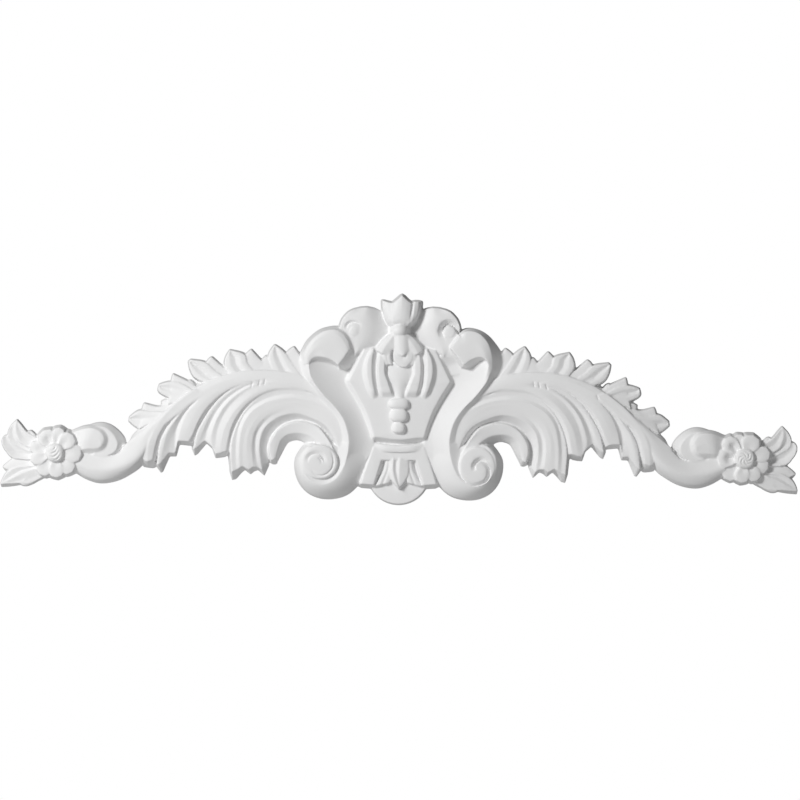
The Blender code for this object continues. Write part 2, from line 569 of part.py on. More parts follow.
# The flutes below the stem lie in groups, and each group laps over the next one towards the middle.
# A group is a sheet through the lines of its ridges and hollows, from root to tip, each with its heights.
FLUTE_GROUPS = (
    # the innermost leaf, curled back over the volute
    ((((-84, -64), (-95, -57), (-103, -50.5), (-110, -46.8), (-117, -45.8), (-125, -48.5), (-129, -54),
       (-132, -60), (-138, -71.5)), (14, 8, 4, 4, 4, 4)),
     (((-82, -58), (-90, -48.5), (-98, -42.5), (-105, -39.5), (-115, -38), (-125, -39.5), (-132, -44.5),
       (-135.5, -52), (-139, -67)), (22, 18, 15, 14, 13, 12)),
     (((-72, -60), (-80, -47), (-88, -40), (-98, -34.5), (-112, -31.5), (-124, -32.5), (-134, -39),
       (-139.5, -50), (-141, -68)), (22.5, 19, 16, 15, 14.2, 13)),
     (((-70, -63), (-76, -51), (-84, -39), (-91, -31.5), (-100, -27.5), (-110, -25.5), (-120, -26.5),
       (-130, -30.5), (-138, -37.5), (-143.5, -46), (-146, -57), (-143.5, -69)), (23, 20, 16.5, 16, 15,
                                                                                  13)),
     ),
    # the broad flute with the deep channel, which ends in the three largest tips
    ((((-66, -64), (-72, -50), (-82, -37), (-90, -31), (-100, -27), (-110, -25), (-120, -26), (-130, -30),
       (-138, -37), (-144, -46), (-147, -58), (-147.5, -73)), (22, 13, 7, 5, 4, 4)),
     (((-64, -64), (-69, -50), (-78, -34), (-88, -26), (-100, -20.5), (-110, -17), (-120, -16), (-133, -19),
       (-145, -26), (-153, -35), (-156.5, -46), (-157, -60), (-154, -80)), (23.5, 19, 17, 16, 14.5, 11)),
     (((-63, -64), (-67, -48), (-76, -31), (-88, -21), (-105, -13), (-125, -12.5), (-143, -19), (-154, -29),
       (-160, -39), (-162, -50), (-161.5, -65), (-158.5, -77)), (23.5, 20, 17.5, 16, 13, 11.5)),
     (((-62.5, -64), (-66, -46), (-75, -29), (-88, -18), (-105, -9.5), (-126, -9), (-146, -17), (-157, -27),
       (-163, -38), (-165.5, -51), (-165, -65), (-164, -76.5)), (23.5, 20, 17.5, 17, 16, 13.5)),
     (((-62, -64), (-65, -44), (-73, -27), (-88, -13), (-105, -6), (-126, -4.5), (-148, -12), (-160, -21),
       (-167, -33), (-171, -46), (-171, -62), (-168.5, -80)), (23.5, 20.5, 18, 17.5, 17, 13.5)),
     (((-62, -64), (-64, -43), (-71, -26), (-84, -12), (-102, -4), (-124, -2), (-147, -8.5), (-161, -17),
       (-169, -29), (-174, -43), (-176, -60), (-175.5, -76)), (23.5, 20.5, 18, 17.5, 17, 14)),
     (((-61, -64), (-63, -42), (-68, -25), (-78, -12), (-90, -6), (-100, -2), (-120, 1.5), (-135, 0),
       (-150, -4), (-162, -11), (-170, -19), (-176, -30), (-179, -45), (-180, -60), (-179, -77.5)),
      (23.5, 20.5, 18.5, 18, 17.5, 14.5)),
     (((-61, -62), (-62.5, -40), (-69, -21), (-82, -6), (-100, 2), (-120, 5.5), (-135, 4.5), (-150, 0),
       (-164, -7.5), (-173, -16), (-179, -28), (-182.5, -42), (-183.5, -58), (-183, -80)),
      (22, 19, 16.5, 15.5, 15, 13.5)),
     (((-61, -60), (-62, -38), (-70, -17), (-88, 1), (-110, 8.5), (-131, 10.5), (-140, 9.5), (-150, 5.5),
       (-160, -0.5), (-170, -9.5), (-178, -20.5), (-184, -33), (-188, -47), (-189.5, -62), (-188, -82.5)),
      (22, 18.5, 17, 16.5, 16, 14)),
     ),
    # the next group, with two tips
    ((((-105, 8), (-118, 10.5), (-130, 10.5), (-140, 8.5), (-150, 4.5), (-158, -0.5), (-170, -11),
       (-178.5, -21.5), (-184, -33), (-187.5, -45), (-190, -60)), (17, 17, 14.5, 13, 12.5, 12)),
     (((-105, 12), (-118, 13), (-131, 12.8), (-141, 11.5), (-152, 7.5), (-165, 0), (-175, -9), (-183, -20),
       (-188.5, -31), (-191.5, -42), (-195, -59)), (18, 18.5, 18.5, 18.5, 18, 15.5)),
     (((-110, 15), (-130, 16), (-145, 14), (-158, 9), (-170, 1), (-181, -9), (-190, -21), (-197, -35),
       (-200, -50), (-202, -61.5)), (18.3, 18.5, 19, 19, 18, 15)),
     (((-115, 17), (-140, 17.5), (-160, 14.5), (-172, 8.5), (-183, 0), (-193, -11), (-200.5, -24),
       (-205, -38), (-207, -52), (-206.5, -62)), (18.3, 18.3, 18, 16.5, 15.5, 14)),
     (((-120, 18), (-145, 19), (-166, 14.5), (-176, 9.5), (-187, 1.5), (-197, -9), (-204.5, -21),
       (-209.5, -34), (-212, -46), (-210.5, -54)), (18.5, 18.5, 18.7, 18.3, 17, 14.5)),
     (((-130, 20), (-155, 19.5), (-172, 14.5), (-183, 8), (-194, -0.5), (-203.5, -11.5), (-211, -24),
       (-216, -37), (-218.5, -47.5)), (18.5, 18.5, 16.5, 14.5, 13.5, 12.5)),
     (((-135, 20.5), (-160, 19.5), (-177, 14), (-189, 7), (-200, -2), (-209, -13), (-216.5, -26),
       (-221.5, -39), (-228, -56)), (18.5, 18.5, 17.5, 16, 15.5, 12.5)),
     (((-140, 21), (-165, 19.5), (-181, 13.5), (-192, 7.5), (-203, -1.5), (-212, -12), (-220, -25),
       (-227, -39), (-231, -57)), (18.5, 18.5, 17.5, 16, 15.5, 13)),
     ),
    # the next group, with a short and a long tip
    ((((-150, 19), (-170, 16.5), (-181, 12), (-190, 7.5), (-200, 0.5), (-210, -9), (-218, -20), (-225, -33),
       (-229.5, -43), (-233, -51)), (18, 17, 13.5, 12.5, 12, 11.5)),
     (((-150, 21), (-170, 18.5), (-182, 15), (-191, 11), (-203, 3), (-213.5, -7), (-222, -18),
       (-228.5, -31),
       (-232.5, -41), (-237.5, -48.5)), (18.5, 18.5, 18.5, 18.5, 18, 15.5)),
     (((-170, 22), (-190, 17), (-206, 8), (-218, -2), (-228, -14), (-235, -27), (-240, -38), (-243.5, -48)),
      (18.5, 18.5, 19, 19, 18, 15.5)),
     (((-180, 22), (-200, 15), (-216, 6), (-228, -4), (-237, -14), (-243, -26), (-247, -38), (-249, -48)),
      (18.5, 18.5, 18.7, 18.5, 17, 15.5)),
     (((-185, 22), (-205, 14), (-220, 5), (-231, -5), (-240.5, -16), (-247, -27), (-251.5, -40),
       (-252, -62)),
      (18.5, 18.5, 17.5, 14.5, 13, 12)),
     (((-188, 22), (-208, 13.5), (-222, 4.5), (-232.5, -5), (-242, -15.5), (-250, -27.5), (-256, -41),
       (-259, -61.5)), (18.5, 18.5, 18.3, 16.5, 15, 12.5)),
     (((-190, 22), (-210, 13), (-224, 4), (-234, -5), (-244, -15), (-254, -28), (-262, -42), (-269, -74)),
      (18.5, 18.5, 18.5, 18, 16.5, 13)),
     (((-200, 20), (-222, 8), (-238, -6), (-250, -18.5), (-258, -29), (-265, -41), (-269, -53),
       (-272, -75)),
      (18.5, 18.5, 18, 16.5, 16, 13)),
     ),
    # the last lobe, which grows out of the stem
    ((((-225, 4), (-240, -8), (-252, -21), (-260, -31.5), (-267, -44), (-271, -56), (-275, -69)),
      (18, 17, 14, 13, 12.5, 12)),
     (((-225, 8), (-242, -6), (-255, -18.5), (-264, -30), (-271, -43), (-275, -56), (-277.5, -69.5)),
      (18.5, 18.5, 18.5, 18.5, 18, 15)),
     (((-230, 10), (-248, -4), (-262, -18), (-273, -32), (-280, -47), (-282.5, -60), (-283, -71.5)),
      (18.5, 18.5, 18.8, 19, 19, 15)),
     (((-235, 8), (-255, -8), (-270, -24), (-281, -40), (-287, -52), (-288.5, -62), (-287, -70)),
      (18.5, 18.5, 18.5, 18.3, 17.5, 14)),
     ),
)


# Where the wall below each line's tip meets the wall behind, group by group
FLUTE_FEET = (
    ((-137, -73), (-139, -74), (-142, -74), (-145.5, -72)),
    ((-146, -74.5), (-151.5, -87), (-158.5, -80.5), (-163, -82), (-167, -85.5), (-173.5, -80.5),
     (-177.5, -84),
     (-183.5, -91), (-188, -92)),
    ((-190, -62), (-196, -66), (-201.5, -67), (-207, -67.5), (-210.5, -57), (-217, -51), (-227, -63),
     (-230.5, -65)),
    ((-233, -54), (-238.5, -53.5), (-243.5, -53), (-247.5, -52.5), (-251, -66), (-258.5, -66),
     (-266, -83.5),
     (-268.5, -84.5)),
    ((-275, -79), (-277.5, -79.5), (-283, -79), (-288, -78)),
)


def draw_flutes():
    for rails, feet in zip(FLUTE_GROUPS, FLUTE_FEET):
        yield fan(rails, feet, draft=0.22)


FLOWER = {
    "centre": (-387, -62.5),
    "button_radius": 10.2,
    "button_foot": 20.5,
    "button_rise": 4.5,
    "draft": 0.2,
    # direction and half width in degrees, reach, height of the rim, depth of the hollow
    "petals": ((116, 26, 28, 18, 3), (80, 22, 28.5, 18.7, 1.2), (45, 25, 29.5, 19.8, 1.8),
               (12, 21, 28.5, 17.2, 0.5),
               (-15, 20, 28.5, 16.8, 0.5), (-50, 25, 29, 15, 0.3), (-86, 23, 27.5, 17.2, 0.6), (234, 24, 30,
                                                                                                15.6, 1.5),
               (201, 23, 28, 17.4, 1.2), (163, 25, 28.5, 15.8, 2.4)),
}


def draw_flower():
    v = FLOWER
    middle = v["centre"]
    for facing, half, reach, high, hollow in v["petals"]:
        rails = []
        for place, length in ((-1, 0.8), (-0.6, 0.95), (0, 1.0), (0.6, 0.95), (1, 0.8)):
            line = []
            for share, narrow in ((0.2, 1.0), (0.5, 0.95), (0.8, 1.0), (1.0, 0.9)):
                turn = math.radians(facing + place * half * narrow)
                far = reach * length * share
                line.append((middle[0] + far * math.cos(turn), middle[1] + far * math.sin(turn)))
            sunk = hollow * (1 - abs(place))
            rails.append((line, (high + 1, high - sunk, high + 0.3 - sunk, high, high - 1.2)))
        yield fan(rails, draft=v["draft"])
    yield bead(middle, v["button_radius"], v["button_radius"], v["button_foot"], v["button_rise"],
               square=2.4, draft=0.12)


# Leaves beyond the flower, each a sheet through lines from its root to its tip with heights along them
END_LEAF_RAILS = (
    # the upper leaf with its midrib
    ((((-405, -68), (-436, -52), (-440.8, -42), (-437.8, -33.5), (-431.3, -26.3)), (12, 10, 9.5, 9.5, 9)),
     (((-404, -65), (-430, -51), (-435.5, -42), (-434.8, -34), (-431.2, -26.3)), (12, 8.5, 8, 8.5, 9)),
     (((-403, -63), (-424.5, -52.5), (-430.3, -43), (-432.3, -34), (-431.1, -26.3)),
      (13, 11.5, 11, 10.5, 9)),
     (((-402, -56), (-420, -47.5), (-426, -40), (-429.3, -33.5), (-431, -26.3)), (13, 10, 9, 9, 9)),
     (((-401, -50), (-417, -41.5), (-422, -37), (-426.3, -31.5), (-430.9, -26.3)), (12, 11, 10.5, 10, 9))),
    # its lower lobe
    ((((-403, -70.5), (-432.5, -69.6), (-442.8, -61), (-447.2, -53), (-446.8, -47.3), (-444, -44)),
      (11, 9, 9, 9, 8.5)),
     (((-402, -68), (-428, -63), (-438, -56), (-442.5, -50.5), (-443.8, -47), (-443.5, -44)),
      (11, 8, 7.5, 8, 8.5)),
     (((-401, -64), (-424, -55.5), (-433, -50), (-438.5, -46), (-441.5, -44.2), (-443, -43.8)),
      (12, 10.5, 9, 9, 8.5))),
    # the small lobe beside the flower
    ((((-418.5, -52), (-419.8, -44), (-418.7, -40), (-416, -38.3)), 9.5),
     (((-412, -50), (-415.5, -43), (-415.8, -40), (-415.3, -38.3)), 8.5),
     (((-404, -50), (-409, -44.5), (-411.5, -41), (-414.5, -38.5)), 9)),
    # the middle leaf
    ((((-408, -69.5), (-425, -69), (-435.6, -70.8), (-441.5, -74.5), (-446, -78.6)), (10, 9, 9, 9, 8.5)),
     (((-408, -77), (-425, -77), (-435.5, -77.5), (-441.5, -78.5), (-446, -79)), (11, 10.5, 10, 9.5, 8.5)),
     (((-408, -86), (-425, -85.5), (-436, -83), (-441.5, -81.8), (-445.8, -79.6)), 9.5),
     (((-408, -87), (-425, -86.5), (-436, -86), (-441.3, -85.3), (-445, -82.8)), (9, 5, 0.5, 0.5, 0.5))),
    # the lower leaf with its midrib
    ((((-396, -72), (-413, -77.5), (-430, -79.5), (-442.5, -86.5), (-448.7, -98)),
      (14, 12.5, 11.5, 11, 10)),
     (((-395, -73), (-411, -79.5), (-426, -83.5), (-437, -90), (-448.5, -98.2)), (14, 11.5, 10, 10, 10)),
     (((-394, -75), (-411, -81), (-423, -85.5), (-434.5, -91.5), (-448.3, -98.3)),
      (15, 13.5, 12.5, 12, 10)),
     (((-393, -80), (-412, -91), (-425, -93.5), (-436, -96), (-448.2, -98.5)), (13, 11.5, 11, 10.5, 10)),
     (((-391, -84), (-412, -96), (-426, -97.3), (-437, -97.8), (-448, -98.6)), (11.5, 11.5, 11.5, 11, 10)),
     (((-391, -85), (-412, -97), (-426, -99.6), (-437, -101.4), (-448.6, -102.3)), (11, 8, 0.5, 0.5, 0.5))),
    # its lobe
    ((((-388, -74), (-410, -84), (-420, -91), (-425.5, -98.8)), (13, 12, 12, 11)),
     (((-386, -77), (-407, -89), (-417, -95), (-423.5, -99.5)), (12, 10.5, 10.5, 10.5)),
     (((-384, -80), (-402.5, -90), (-410.5, -96), (-418, -99.3), (-422, -99.8)), (12, 10.5, 10.5, 10.5))),
)


def draw_end_leaves():
    for rails in END_LEAF_RAILS:
        yield fan(rails, draft=0.14)


# Grooves pressed into the fused surface: line, width on its left, width on its right, depth along it,
# and the halves that have it: 1 is the left half, and -1 the right half with the line mirrored
GROOVES = (
    (((-104, -72), (-103, -67), (-99.5, -62), (-95, -60), (-90, -60.3), (-86, -63), (-83, -69)), 1.5, 4.5,
     (0, 1.6, 2.2, 1.8, 0), (1,)),
    (((-91, -65), (-87.5, -67.5), (-85.5, -72)), 0.8, 2.4, (0, 1.6, 0), (1,)),
    (((-88, -51.5), (-79, -54), (-72.5, -61), (-69.3, -71), (-71.5, -81), (-79, -88.5), (-89, -90.5),
      (-99, -85)),
     0.8, 3.2, (0, 2, 3.6, 4.2, 4.2, 3.4, 2, 0), (1,)),
    (((-84, -56), (-78.5, -59.5), (-74.5, -65), (-73.3, -72), (-75.8, -80), (-82, -86), (-90, -87.5),
      (-97, -84)),
     0.8, 3.0, (0, 0.8, 1.4, 1.6, 1.6, 1.4, 1, 0), (1,)),
    (((-86.5, -79), (-86, -74), (-88, -70), (-92, -67.8), (-98, -68.6)), 1.0, 5.0, (0, 4, 5.5, 4.5, 1),
     (-1,)),
    (((-92, -67), (-98.5, -70.5), (-102.5, -77), (-102.5, -84), (-99, -91), (-92, -94.8), (-84, -95.5),
      (-76, -92)),
     4.5, 0.8, (0.5, 2.5, 4.5, 5.2, 4.8, 3.4, 1.8, 0), (-1,)),
    (((-61, 79), (-58.5, 84.5), (-53, 87), (-46.5, 85), (-44, 79)), 2.8, 1.8, (0, 2.4, 2.2, 0.8, 0), (1,)),
    (((-50.3, 71), (-48.6, 77.5), (-50, 82.2), (-53.5, 84.8), (-57.5, 84.4), (-61.5, 81.5), (-65.5, 75.5)),
     1.0, 6.5,
     (0.5, 6, 8, 8, 7, 5.5, 5), (-1,)),
    (((-393, -57), (-389.5, -60), (-385, -58.5), (-382, -54.5)), 1.8, 1.8, (1, 2.2, 2.2, 1), (1, -1)),
    (((-395, -61.5), (-392, -66.5), (-386, -67.5), (-381, -64), (-378.5, -58.5)), 1.8, 1.8,
     (1, 2.2, 2.2, 2.2, 1), (1, -1)),
    (((-390.5, -62.5), (-387, -63.6), (-383, -61)), 1.8, 1.8, (1.2, 2.2, 1.2), (1, -1)),
    (((-166.5, 13.5), (-165, 18.5)), 1.3, 1.3, 1.0, (1, -1)),
    (((-158, 15.5), (-157, 20.5)), 1.3, 1.3, 1.0, (1, -1)),
    (((-152, 16.5), (-151, 21.5)), 1.3, 1.3, 1.0, (1, -1)),
    (((-224, 3), (-222.5, 7)), 1.3, 1.3, 1.0, (-1,)),
)


def press_grooves(mesh):
    points = np.empty(len(mesh.vertices) * 3)
    mesh.vertices.foreach_get("co", points)
    points = points.reshape(-1, 3)
    for line, left_width, right_width, depth, sides in GROOVES:
        path = dense_points(line)
        along = np.gradient(path, axis=0)
        deep = rise_curve(depth)
        depths = np.array([deep(t) for t in np.linspace(0, 1, len(path))])
        widest = max(left_width, right_width)
        for side in sides:
            flat = points[:, :2] * (side, 1)
            near = np.all((flat > path.min(axis=0) - widest) & (flat < path.max(axis=0) + widest), axis=1)
            where = np.flatnonzero(near & (points[:, 2] > 2))
            off = flat[where][:, None] - path[None]
            nearest = np.linalg.norm(off, axis=2).argmin(axis=1)
            off = off[np.arange(len(where)), nearest]
            tangent = along[nearest]
            across = tangent[:, 0] * off[:, 1] - tangent[:, 1] * off[:, 0]
            width = np.where(across > 0, left_width, right_width)
            points[where, 2] -= depths[nearest] * np.clip(1 - np.linalg.norm(off, axis=1) / width, 0, 1)
    mesh.vertices.foreach_set("co", points.ravel())
    mesh.update()


def joined_forms():
    """All the forms in one mesh, still overlapping: 1 is as drawn,
    and -1 is turned over to the right half."""
    whole = bmesh.new()
    holder = bpy.data.meshes.new("form")
    both = (draw_back_scroll, draw_ribbon, draw_stem, draw_end_curl, draw_upper_leaves, draw_flutes,
            draw_flower,
            draw_end_leaves)
    once = (draw_hook, draw_volute, draw_panel, draw_foot, draw_vase, draw_crown)
    turned = (draw_right_hook, draw_right_volute)
    for drawers, copies in ((both, (1, -1)), (once, (1,)), (turned, (-1,))):
        for form in (form for draw in drawers for form in draw()):
            for side in copies:
                if side < 0:
                    bmesh.ops.scale(form, vec=(-1, 1, 1), verts=form.verts)
                    bmesh.ops.reverse_faces(form, faces=form.faces)
                form.to_mesh(holder)
                whole.from_mesh(holder)
            form.free()
    joined = bpy.data.meshes.new("joined forms")
    whole.to_mesh(joined)
    whole.free()
    bpy.data.meshes.remove(holder)
    return joined


def fused_forms(cutters):
    """The forms fused into one closed mesh, with the grooves pressed into it."""
    blank = bpy.data.objects.new("forms", joined_forms())
    cutters.objects.link(blank)
    fuse = blank.modifiers.new("fuse the forms", "REMESH")
    fuse.mode = "VOXEL"
    fuse.voxel_size = VOXEL
    graph = bpy.context.evaluated_depsgraph_get()
    cast = bpy.data.meshes.new_from_object(blank.evaluated_get(graph))
    bpy.data.objects.remove(blank)
    press_grooves(cast)
    return cast


def primed_white():
    material = bpy.data.materials.new("primed white")
    material.use_nodes = True
    shader = material.node_tree.nodes["Principled BSDF"]
    shader.inputs["Base Color"].default_value = (0.80, 0.80, 0.80, 1)
    shader.inputs["Roughness"].default_value = 0.62
    shader.inputs["Metallic"].default_value = 0.0
    return material


def collection(name, hidden=False):
    group = bpy.data.collections.new(name)
    bpy.context.scene.collection.children.link(group)
    group.hide_render = hidden
    return group


def back_cutter(cutters):
    bpy.ops.mesh.primitive_cube_add(size=1, location=(0, BACK_DEEP / 2, 0))
    back = bpy.context.object
    back.name = "back_cutter"
    back.scale = (BACK_WIDE, BACK_DEEP, BACK_TALL)
    for owner in list(back.users_collection):
        owner.objects.unlink(back)
    cutters.objects.link(back)
    back.hide_render = True
    back.display_type = "WIRE"
    return back


def main():
    for item in list(bpy.data.objects):
        bpy.data.objects.remove(item)
    parts = collection("scroll onlay")
    cutters = collection("cutters", hidden=True)
    cast = fused_forms(cutters)
    cast.transform(Matrix(((MM, 0, 0, 0), (0, 0, -MM, 0), (0, MM, 0, 0), (0, 0, 0, 1))))
    cast.name = "scroll_onlay"
    onlay = bpy.data.objects.new("scroll_onlay", cast)
    onlay.data.materials.append(primed_white())
    parts.objects.link(onlay)
    thin = onlay.modifiers.new("working size", "DECIMATE")
    thin.ratio = TRIANGLES / (2 * len(cast.polygons))
    flat = onlay.modifiers.new("flat back", "BOOLEAN")
    flat.operation = "DIFFERENCE"
    flat.object = back_cutter(cutters)


if __name__ == "__main__":
    main()
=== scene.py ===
import math

import bmesh
import bpy
import numpy as np
from mathutils import Matrix, Vector


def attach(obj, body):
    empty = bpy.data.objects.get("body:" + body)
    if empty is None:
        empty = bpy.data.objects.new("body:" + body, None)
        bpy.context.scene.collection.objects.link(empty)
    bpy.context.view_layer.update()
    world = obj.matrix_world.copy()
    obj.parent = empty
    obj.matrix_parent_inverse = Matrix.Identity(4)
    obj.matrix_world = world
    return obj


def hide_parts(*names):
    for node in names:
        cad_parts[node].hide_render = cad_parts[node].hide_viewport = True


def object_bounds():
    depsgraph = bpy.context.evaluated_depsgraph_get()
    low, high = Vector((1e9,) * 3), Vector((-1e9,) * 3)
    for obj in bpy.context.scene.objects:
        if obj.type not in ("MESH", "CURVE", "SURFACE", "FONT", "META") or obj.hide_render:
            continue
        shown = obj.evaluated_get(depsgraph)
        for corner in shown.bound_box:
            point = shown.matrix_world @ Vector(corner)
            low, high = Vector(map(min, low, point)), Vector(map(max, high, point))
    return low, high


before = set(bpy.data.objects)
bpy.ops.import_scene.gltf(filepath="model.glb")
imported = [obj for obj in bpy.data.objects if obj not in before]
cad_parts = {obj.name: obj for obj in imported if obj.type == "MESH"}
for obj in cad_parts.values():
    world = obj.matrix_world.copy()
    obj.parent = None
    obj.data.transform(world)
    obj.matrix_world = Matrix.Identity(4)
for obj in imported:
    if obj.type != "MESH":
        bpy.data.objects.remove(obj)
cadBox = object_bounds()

# The carving is drawn in millimetres on the wall: u to the right, v up, h out of the wall.
# Every form is closed and reaches behind the wall; they are fused, softened and cut flat at the back.
castValues = {
    "mm": 0.001,
    "floor": -4.0,        # how far behind the wall the forms start
    "draft": 0.28,        # lean of a wall for each millimetre of height
    "voxel": 0.85,        # fineness of the fused surface
    "softness": 0.5,      # strength of one round of smoothing
    "softening": 2,       # rounds of smoothing, which give the soft cast edges
    "triangles": 194000,  # what the fused surface is thinned to, before its back is cut flat
    "sharpAngle": 48,     # degrees between two faces from which their edge shades sharp
    "tipFoot": 0.5,       # height at which the wall below a tip ends
    "along": 40,          # steps along a strip or bead, and across it
    "across": 16,
    "fanAlong": 60,       # steps along a fan, and across it from one line to the next
    "fanAcross": 4,
    "tipRows": 3,         # steps along a fan that go to the wall below its tips
    "curveSteps": 16,     # steps from one point of a line to the next
    "spans": 60,          # places along a strip where its width is taken
    "weld": 0.02,         # points closer than this become one
    "grooveFloor": 2,     # below this height no groove is pressed
}


def densePoints(points):
    # many points on the smooth line through a few
    steps = castValues["curveSteps"]
    given = np.array(points, float)
    if len(given) == 2:
        return given[0] + (given[1] - given[0]) * np.linspace(0, 1, steps + 1)[:, None]
    ends = np.vstack([2 * given[0] - given[1], given, 2 * given[-1] - given[-2]])
    fine = []
    for a, b, c, d in zip(ends, ends[1:], ends[2:], ends[3:]):
        for t in np.linspace(0, 1, steps, endpoint=False):
            pull = (2 * a - 5 * b + 4 * c - d) * t * t + (3 * b - a - 3 * c + d) * t**3
            fine.append(0.5 * (2 * b + (c - a) * t + pull))
    fine.append(given[-1])
    return np.array(fine)


def edgeCurve(points):
    # the line as a place for each share of its length
    fine = densePoints(points)
    steps = np.linalg.norm(np.diff(fine, axis=0), axis=1)
    run = np.concatenate([[0], np.cumsum(steps)]) / steps.sum()
    return lambda t: np.array([np.interp(t, run, fine[:, 0]), np.interp(t, run, fine[:, 1])])


def riseCurve(values):
    # heights along a line, given as one number or as several at even steps
    if isinstance(values, (int, float)):
        return lambda t: values
    fine = densePoints([(value,) for value in values])[:, 0]
    return lambda t: np.interp(t, np.linspace(0, 1, len(fine)), fine)


def raiseForm(surface, draft, along=None, across=None):
    # a grid laid on the surface, then walls that lean outwards down to the floor
    form = bmesh.new()
    bmesh.ops.create_grid(form, x_segments=along or castValues["along"],
                          y_segments=across or castValues["across"], size=1)
    for vert in form.verts:
        vert.co = surface((vert.co.x + 1) / 2, vert.co.y)
    bmesh.ops.remove_doubles(form, verts=form.verts, dist=castValues["weld"])
    bmesh.ops.dissolve_degenerate(form, edges=form.edges, dist=castValues["weld"] / 2)
    rim = [edge for edge in form.edges if edge.is_boundary]
    lean = {}
    for edge in rim:
        side = edge.verts[1].co - edge.verts[0].co
        outward = Vector((side.y, -side.x, 0)).normalized()
        middle = (edge.verts[0].co + edge.verts[1].co) / 2
        if outward.dot(edge.link_faces[0].calc_center_median() - middle) > 0:
            outward.negate()
        for vert in edge.verts:
            lean[vert] = lean.get(vert, Vector()) + outward
    skirt = bmesh.ops.extrude_edge_only(form, edges=rim)["geom"]
    feet = [item for item in skirt if isinstance(item, bmesh.types.BMVert)]
    tops = {}
    for foot in feet:
        tops[foot] = next(edge.other_vert(foot) for edge in foot.link_edges if edge.other_vert(foot) in lean)
    for foot, top in tops.items():
        foot.co += lean[top].normalized() * draft * (top.co.z - castValues["floor"])
        foot.co.z = castValues["floor"]
    bmesh.ops.holes_fill(form, edges=[edge for edge in form.edges if edge.is_boundary], sides=0)
    bmesh.ops.recalc_face_normals(form, faces=form.faces)
    return form


def strip(left, right, leftRise, rightRise=None, bulge=0.0, vein=0.0, outline=False, draft=None,
          veinWidth=0.35):
    # a band between two edges: bulge lifts its middle, vein cuts its centre line,
    # and outline says that the edges given are the foot of the wall
    draft = castValues["draft"] if draft is None else draft
    leftEdge = edgeCurve(left)
    rightEdge = edgeCurve(right)
    leftLevel = riseCurve(leftRise)
    rightLevel = riseCurve(leftRise if rightRise is None else rightRise)
    swelling = riseCurve(bulge)
    spans = [np.linalg.norm(rightEdge(t) - leftEdge(t)) for t in np.linspace(0, 1, castValues["spans"])]
    widest = max(spans)
    inset = draft * leftLevel(1.0) if outline else 0.0
    wideEnough = [k for k, span in enumerate(spans) if span / 2 >= inset]
    reach = wideEnough[-1] / (len(spans) - 1) if wideEnough else 1.0

    def surface(share, s):
        t = share * reach
        a = leftEdge(t)
        b = rightEdge(t)
        span = max(np.linalg.norm(b - a), 1e-6)
        swell = min(1.0, 2 * span / widest)
        half = (b - a) / 2 * max(0.0, 1 - 2 * inset / span)
        at = (a + b) / 2 + half * s
        level = (leftLevel(t) + rightLevel(t)) / 2
        tilt = (rightLevel(t) - leftLevel(t)) / 2 * s * swell
        relief = swelling(t) * (1 - s * s) - vein * max(0.0, 1 - abs(s) / veinWidth)
        return Vector((at[0], at[1], level + tilt + relief * swell))

    return raiseForm(surface, draft)


def bead(centre, wide, tall, rim, rise, square=2.0, draft=None):
    # a round or oval boss: a level rim with a dome on it
    def surface(t, s):
        angle = math.pi * t
        u = s * math.sin(angle)
        v = math.cos(angle)
        dome = max(0.0, 1 - (abs(u) ** square + abs(v) ** square)) ** 0.5
        return Vector((centre[0] + wide * u, centre[1] + tall * v, rim + rise * dome))

    return raiseForm(surface, castValues["draft"] if draft is None else draft)


def fan(rails, feet=None, rounded=False, draft=None):
    # a sheet through several lines side by side, each with its own heights along it, and
    # rounded from line to line if asked; feet are where the wall at its tips meets the wall behind
    draft = castValues["draft"] if draft is None else draft
    lines = [edgeCurve(line) for line, rise in rails]
    levels = [riseCurve(rise) for line, rise in rails]
    last = len(rails) - 1
    rows = castValues["fanAlong"]
    brink = 1 - castValues["tipRows"] / rows if feet else 1.0

    def surface(row, s):
        t = min(row / brink, 1.0)
        place = (s + 1) / 2 * last
        k = min(int(place), last - 1)
        share = place - k
        at = lines[k](t) * (1 - share) + lines[k + 1](t) * share
        if rounded:
            level = riseCurve([rise(t) for rise in levels])(place / last)
        else:
            level = levels[k](t) * (1 - share) + levels[k + 1](t) * share
        if row > brink:
            drop = (row - brink) / (1 - brink)
            foot = np.array(feet[k]) * (1 - share) + np.array(feet[k + 1]) * share
            at = at + (foot - at) * drop
            level -= (level - castValues["tipFoot"]) * drop
        return Vector((at[0], at[1], level))

    return raiseForm(surface, draft, rows, castValues["fanAcross"] * last)


def mirrored(points):
    return [(-u, v) for u, v in points]


panelValues = {
    "height": 19.5,
    "draft": 0.6,
    "shoulder": (57, 21),
    "neck": ((40, 56), (48.5, 38.5)),
    "waist": ((47, 5), (38, -12), (32, -28), (28, -42)),
}


def makePanel():
    v = panelValues
    for side in (v["neck"] + (v["shoulder"],), (v["shoulder"],) + v["waist"]):
        yield strip(mirrored(side), side, v["height"], draft=v["draft"])
    sag = ((-28, -41), (0, -44.5), (28, -41))
    yield strip(((-28, -36), (0, -36), (28, -36)), sag, v["height"], draft=v["draft"])


footValues = {
    "discCentre": (0, -83),
    "discRadius": 34.2,
    "discHeight": 8,
    "bandHeight": 17,
    "frameHeight": 15,
    "leafHeight": 12,
    "middleLeafHeight": 15,
}


